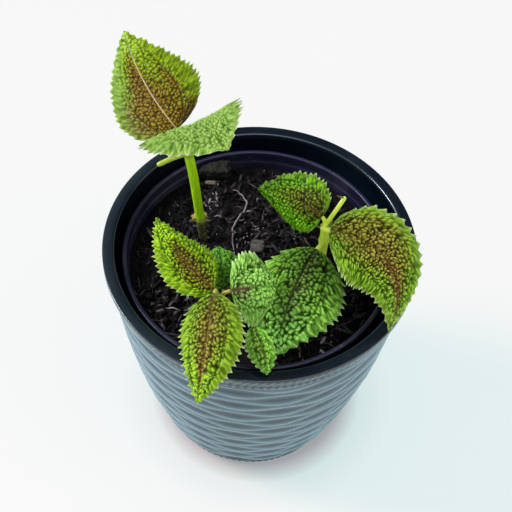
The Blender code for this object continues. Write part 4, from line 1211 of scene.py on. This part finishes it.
def grown_stem(name):
    """A stem, its stalks and its stub: closed rods, fused by a fine remesh and smoothed where they meet."""
    plan = STEMS[name]
    path = smooth_path(plan["path"], 16)
    radii = []
    for spot in path:
        swell = max(1 - abs(spot.z - z) / NODE_REACH for z in plan["nodes"])
        ripple = 0.03 * noise.noise(Vector((spot.x, spot.y, spot.z)) / 4)
        radii.append(plan["radius"] * (1 + (NODE_SWELL - 1) * max(0.0, swell) ** 0.7 + ripple))
    radii[-3:] = [plan["radius"] * share for share in (0.9, 0.78, STEM_TOP_SHARE)]
    points, faces = [], []
    rod(points, faces, path, radii, 28)
    for leaf_name, (height, radius) in plan["petioles"].items():
        point, run, _, face = (Vector(part) for part in rib_frame(LEAVES[leaf_name], 0.0))
        end = point - run * PETIOLE_GAP * 0.2 - face * radius * PETIOLE_DROP
        start = axis_point(path, height)
        bend = end - run * (end - start).length * PETIOLE_BEND
        shares = np.linspace(0, 1, 22)
        line = [start.lerp(bend, t).lerp(bend.lerp(end, t), t) for t in shares]
        rod(points, faces, line, [radius * (1.12 - 0.22 * t) for t in shares], 16)
    if plan["stub"]:
        line = smooth_path(plan["stub"], 10)
        widths = [plan["stub_radius"]] * len(line)
        widths[-2:] = [plan["stub_radius"] * 0.92, plan["stub_radius"] * 0.62]
        rod(points, faces, line, widths, 16)
    piece = mesh_piece(name + "_grown", points, faces)
    remesh = piece.modifiers.new("Fuse", "REMESH")
    remesh.mode = "VOXEL"
    remesh.voxel_size = STEM_VOXEL * MM
    remesh.use_smooth_shade = True
    soften = piece.modifiers.new("Soften", "SMOOTH")
    soften.factor = 0.5
    soften.iterations = 8
    keep_modified(piece)
    fused = piece.data
    fused.shade_smooth()
    # marks: brown foot, node rings, and stalks
    spots = np.empty(len(fused.vertices) * 3, np.float32)
    fused.vertices.foreach_get("co", spots)
    spots = spots.reshape(-1, 3) / MM
    axis = np.array([list(p) for p in path])
    nearest = np.argmin(np.abs(spots[:, 2][:, None] - axis[:, 2][None]), axis=1)
    away = np.hypot(spots[:, 0] - axis[nearest, 0], spots[:, 1] - axis[nearest, 1])
    stalk = smooth_step(plan["radius"] * 1.35, plan["radius"] * 2.4, away)
    brown = smooth_step(plan["brown_below"] + 2.5, plan["brown_below"] - 2.5, spots[:, 2]) * (1 - stalk)
    ring = np.zeros(len(spots))
    for z in plan["nodes"]:
        ring = np.maximum(ring, np.exp(-((spots[:, 2] - z) / 1.1) ** 2) * (1 - stalk))
    values = np.stack([brown, ring, stalk, np.ones(len(spots))], axis=-1).astype(np.float32)
    attribute = fused.attributes.new("growth", "FLOAT_COLOR", "POINT")
    attribute.data.foreach_set("color", values.ravel())
    return piece


# Stem skin: juicy green with pale streaks along it, brown and corky at the foot, darker at the node rings
stem_skin, given, made = effect(
    "Stem skin", {"Green": (0.2, 0.42, 0.02, 1), "Pale": (0.42, 0.62, 0.08, 1),
                  "Brown": (0.09, 0.06, 0.035, 1), "Ring": (0.32, 0.2, 0.06, 1),
                  "Stalk": (0.42, 0.5, 0.12, 1)}, FINISH)
foot, ring, stalk, _ = mark(stem_skin, "growth")
place = object_place(stem_skin)
drawn = shade(stem_skin, "Mapping", {"Vector": place, "Scale": (1.0, 1.0, 0.12)}).outputs[0]
streaks = cloud(stem_skin, drawn, 1400.0, 4.0)
mottle = cloud(stem_skin, place, 500.0, 5.0)
body = blend_colours(stem_skin, spread(stem_skin, streaks, 0.35, 0.68), given["Green"], given["Pale"])
body = blend_colours(stem_skin, stalk, body, given["Stalk"])
body = blend_colours(stem_skin, times(stem_skin, ring, 0.7), body, given["Ring"])
cork = times(stem_skin, foot, spread(stem_skin, mottle, 0.25, 0.5, 0.7, 1.0))
body = blend_colours(stem_skin, cork, body, given["Brown"])
stem_skin.links.new(body, made["Color"])
rough = number(stem_skin, "MULTIPLY_ADD", foot, 0.3, spread(stem_skin, mottle, 0.3, 0.7, 0.3, 0.45))
stem_skin.links.new(rough, made["Roughness"])
stem_skin.links.new(plus(stem_skin, streaks, times(stem_skin, mottle, 0.5)), made["Height"])

STEM_TONES = {
    "stem_a": {"Green": (0.38, 0.74, 0.003, 1), "Pale": (0.64, 0.97, 0.01, 1), "Stalk": (0.56, 0.68, 0.07, 1),
               "Ring": (0.36, 0.36, 0.04, 1), "Brown": (0.09, 0.07, 0.04, 1)},
    "stem_b": {"Green": (0.55, 0.72, 0.03, 1), "Pale": (0.85, 0.95, 0.12, 1), "Stalk": (0.75, 0.88, 0.14, 1),
               "Ring": (0.62, 0.6, 0.1, 1)},
    "stem_c": {"Green": (0.4, 0.4, 0.04, 1), "Pale": (0.55, 0.54, 0.1, 1), "Ring": (0.48, 0.2, 0.04, 1),
               "Stalk": (0.52, 0.42, 0.08, 1)},
}
for stem_name, values in STEM_TONES.items():
    stem_look, tree, shader = surface(stem_name + "_skin")
    shader.inputs["Subsurface Weight"].default_value = 0.25
    shader.inputs["Subsurface Radius"].default_value = (0.5, 1.0, 0.2)
    shader.inputs["Subsurface Scale"].default_value = 0.001
    if stem_name == "stem_b":
        # painted light: stem B's skin glows a little by itself, so that it stays bright in the leaves' shade
        shader.inputs["Emission Color"].default_value = (0.5, 0.72, 0.06, 1)
        shader.inputs["Emission Strength"].default_value = 0.24
    wear(tree, shader, use_effect(tree, stem_skin, values), 0.3, 0.00008)
    settle(grown_stem(stem_name), stem_look, stem_name)


# Stipules and buds.
# Dry papery scales clasp the stems at their nodes: a torn, flared collar low on stem A, and small pointed
# scales on all three. Folded buds of very young leaves sit near the tops of B and C. All grew from the skin.
COLLAR_HEIGHT = 120.6
COLLAR_STEPS = 96
COLLAR_ROWS = 12
SCALE_THICKNESS = 0.16


def thick_sheet(name, grid, thickness):
    """A closed thin sheet from a grid of points, rows by columns, given its thickness along its normals."""
    run, across = np.gradient(grid, axis=0), np.gradient(grid, axis=1)
    normal = unit(np.cross(run, across) + 1e-9)
    rows, columns = grid.shape[:2]
    sides = grid + normal * thickness / 2, grid - normal * thickness / 2
    points = np.concatenate([side.reshape(-1, 3) for side in sides])
    first = rows * columns
    faces = []
    for i in range(rows - 1):
        for j in range(columns - 1):
            k = i * columns + j
            faces.append((k, k + 1, k + columns + 1, k + columns))
            faces.append((first + k, first + k + columns, first + k + columns + 1, first + k + 1))
    rim = list(range(columns)) + [i * columns + columns - 1 for i in range(1, rows)]
    rim += [(rows - 1) * columns + j for j in range(columns - 2, -1, -1)]
    rim += [i * columns for i in range(rows - 2, 0, -1)]
    for a, b in zip(rim, rim[1:] + rim[:1]):
        faces.append((b, a, first + a, first + b))
    return mesh_piece(name, points, faces)


def papery_collar():
    """A torn ring that stands off the stem and curls outwards, longer at the left and right."""
    axis = axis_point(smooth_path(STEMS["stem_a"]["path"], 16), COLLAR_HEIGHT)
    turn = np.linspace(0.15, 2 * math.pi - 0.1, COLLAR_STEPS)
    grid = np.zeros((COLLAR_ROWS, COLLAR_STEPS, 3))
    for i in range(COLLAR_ROWS):
        t = i / (COLLAR_ROWS - 1)
        for j, a in enumerate(turn):
            torn = 0.7 + 0.5 * noise.noise(Vector((math.cos(a) * 2, math.sin(a) * 2, 1)))
            torn += 0.25 * noise.noise(Vector((a * 5, 0, 3)))
            reach = (1.3 + 1.1 * abs(math.cos(a)) ** 4) * torn
            radius = 2.15 + reach * t ** 1.2 * 0.75 + 0.12 * noise.noise(Vector((a * 4, t * 3, 5)))
            rise = 1.2 * t * torn - 1.1 * t * t * abs(math.cos(a)) ** 3
            x, y = axis.x + radius * math.cos(a), axis.y + radius * math.sin(a)
            grid[i, j] = (x, y, COLLAR_HEIGHT - 0.5 + rise)
    return thick_sheet("papery_collar", grid, SCALE_THICKNESS)


def small_scale(name, foot, tip, width, curl):
    """A narrow pointed scale from foot to tip, hollow along its middle and curled back at its end."""
    foot, tip = np.array(foot, float), np.array(tip, float)
    run = unit(tip - foot)
    side = unit(np.cross(run, (0.2, -1, 0.35)))
    face = np.cross(side, run)
    t, v = np.meshgrid(np.linspace(0, 1, 18), np.linspace(-1, 1, 9), indexing="ij")
    half = width / 2 * (1 - t ** 1.7) * (0.55 + 0.45 * np.sin(math.pi * np.clip(t * 1.3, 0, 1))) + 0.05
    wavy = 0.08 * np.sin(t * 9 + v * 2)
    grid = foot + (tip - foot) * t[..., None] + side * (v * half)[..., None]
    grid = grid + face * (curl * t ** 2 + 0.5 * width * v * v * 0.5 + wavy)[..., None]
    return thick_sheet(name, grid, SCALE_THICKNESS)


papery = fibrous_surface("papery_scales", (0.3, 0.2, 0.07, 1), (0.72, 0.58, 0.3, 1), 260.0, 0.0001)
settle(papery_collar(), papery)
young = fibrous_surface("young_leaf_skin", (0.16, 0.34, 0.03, 1), (0.55, 0.66, 0.22, 1), 500.0, 0.00012)
# each scale or bud leaf: its name, foot, tip, width, curl and material
SCALES = [
    ("scale_a_left", (-27.6, 8.6, 120.7), (-30.3, 7.8, 121.0), 1.3, 0.5, papery),
    ("scale_a_right", (-24.4, 8.6, 120.6), (-21.3, 8.2, 121.6), 1.3, 0.4, papery),
    ("scale_b_stub", (31.2, 5.1, 146.3), (28.4, 5.0, 147.8), 0.8, 0.3, papery),
    ("scale_b_axil", (24.2, -3.6, 138.6), (21.3, -5.6, 140.6), 1.1, 0.5, papery),
    ("bud_b_left", (26.3, -3.4, 138.2), (27.4, -3.6, 142.6), 1.6, -0.5, young),
    ("bud_b_right", (27.0, -3.2, 138.0), (29.4, -4.1, 141.4), 1.4, 0.5, young),
    ("bud_b_low", (27.0, -4.2, 134.8), (29.8, -6.2, 134.2), 1.6, 0.5, young),
    ("bud_c_left", (-14.2, -41.4, 139.6), (-14.8, -41.0, 143.2), 1.5, -0.4, young),
    ("bud_c_right", (-13.6, -41.2, 139.4), (-11.8, -40.6, 142.4), 1.4, 0.5, young),
    ("scale_c_left", (-16.6, -41.6, 138.8), (-19.6, -42.4, 139.8), 1.3, 0.4, papery),
]
for scale_name, foot, tip, width, curl, look in SCALES:
    settle(small_scale(scale_name, foot, tip, width, curl), look)


# Camera, floor and light.
# The camera stands where the photograph was taken from: half a metre off, looking steeply down on the rim.
# The plant stands on a plain pale table in soft light from all round, strongest from high on the left.
CAMERA_DISTANCE = 460.0
CAMERA_ELEVATION = math.radians(53.52)
CAMERA_ROLL = math.radians(-4.37)
FOCAL_PIXELS = 1116.0
RIM_PIXEL = (260.7, 243.8)
PICTURE = 512.0
SENSOR = 36.0
TABLE_HALF = 2.0
LIGHT_COLOUR = (1.0, 0.985, 0.975)
LIGHT_DISTANCE = 0.8


def photograph_camera():
    back = Vector((0, -math.cos(CAMERA_ELEVATION), math.sin(CAMERA_ELEVATION)))
    right = Vector((1, 0, 0))
    up = back.cross(right)
    c, s = math.cos(CAMERA_ROLL), math.sin(CAMERA_ROLL)
    level = Matrix((right * c - up * s, -(right * s + up * c), -back))
    pan = math.atan2(RIM_PIXEL[0] - PICTURE / 2, FOCAL_PIXELS)
    tilt = math.atan2(RIM_PIXEL[1] - PICTURE / 2, FOCAL_PIXELS)
    turn_y = Matrix(((math.cos(pan), 0, math.sin(pan)), (0, 1, 0), (-math.sin(pan), 0, math.cos(pan))))
    turn_x = Matrix(((1, 0, 0), (0, math.cos(tilt), math.sin(tilt)), (0, -math.sin(tilt), math.cos(tilt))))
    axes = turn_x @ turn_y @ level
    facing = Matrix((axes[0], -axes[1], -axes[2])).transposed()
    lens = bpy.data.cameras.new("photograph_camera")
    lens.sensor_width = SENSOR
    lens.lens = FOCAL_PIXELS * SENSOR / PICTURE
    lens.clip_start = 0.01
    camera = new_object("photograph_camera", lens)
    spot = (Vector((0, 0, POT_HEIGHT)) + back * CAMERA_DISTANCE) * MM
    camera.matrix_world = Matrix.Translation(spot) @ facing.to_4x4()
    bpy.context.scene.camera = camera


photograph_camera()

shape = bmesh.new()
bmesh.ops.create_grid(shape, x_segments=8, y_segments=8, size=TABLE_HALF)
mesh = bpy.data.meshes.new("table")
shape.to_mesh(mesh)
shape.free()
table = new_object("table", mesh)
table_top, tree, shader = surface("pale_table")
cloudy = cloud(tree, object_place(tree), 6.0, 3.0)
tinted = blend_colours(tree, cloudy, (0.26, 0.1, 0.09, 1), (0.28, 0.12, 0.11, 1))
tree.links.new(tinted, shader.inputs["Base Color"])
shader.inputs["Roughness"].default_value = 0.6
# it is a light table: it glows a little itself, so that shadows on it stay pale
x, y, z = axes(tree)
# painted shadow: the glow is dimmer and greyer round the pot's foot, shifted a little right and to the front,
# as the pot's contact shadow
far = reach(tree, number(tree, "SUBTRACT", x, 0.003), plus(tree, y, 0.001))
glow_and_painted_shadow = blend_colours(tree, spread(tree, far, 0.0415, 0.0515), (0.36, 0.42, 0.44, 1), (0.68, 0.9, 0.91, 1))
glow_and_painted_shadow = blend_colours(tree, spread(tree, far, 0.05, 0.068), glow_and_painted_shadow, (0.78, 0.99, 1.0, 1))
tree.links.new(glow_and_painted_shadow, shader.inputs["Emission Color"])
shader.inputs["Emission Strength"].default_value = 0.8
table.data.materials.append(table_top)

# each sun: its name, the way to it, how wide it looks in degrees, and its strength
SUNS = [
    ("window_left", (-0.72, 0.12, 0.68), 18, 2.5),
    ("lamp_above", (0.12, -0.1, 0.98), 50, 0.9),
    ("wall_right", (0.8, -0.25, 0.55), 50, 0.3),
]
for light_name, way, spread_angle, power in SUNS:
    lamp = bpy.data.lights.new(light_name, "SUN")
    lamp.angle = math.radians(spread_angle)
    lamp.energy = power
    lamp.color = LIGHT_COLOUR
    holder = new_object(light_name, lamp)
    holder.location = Vector(way) * LIGHT_DISTANCE
    holder.rotation_euler = Vector(way).to_track_quat("Z", "Y").to_euler()
# the room is bright low down all round, dim overhead, with a broad pale wall high on the left
room = bpy.data.worlds.new("white_room")
room.use_nodes = True
tree = room.node_tree
x, y, z = shade(tree, "SeparateXYZ", {0: shade(tree, "TexCoord").outputs["Generated"]}).outputs
low_down = spread(tree, z, 0.1, 0.5, 0.8, 0.05)
leftward = number(tree, "MULTIPLY_ADD", y, 0.25, times(tree, z, 0.45))
leftward = number(tree, "MULTIPLY_ADD", x, -0.85, leftward)
pale_wall = spread(tree, leftward, 0.5, 0.8, 0.0, 0.55)
background = tree.nodes["Background"]
background.inputs["Color"].default_value = (0.86, 0.99, 1.0, 1)
tree.links.new(number(tree, "MAXIMUM", low_down, pale_wall), background.inputs["Strength"])
bpy.context.scene.world = room
bpy.context.scene.view_settings.view_transform = "Standard"


def corners(box):
    return [[round(value, 6) for value in corner] for corner in box]
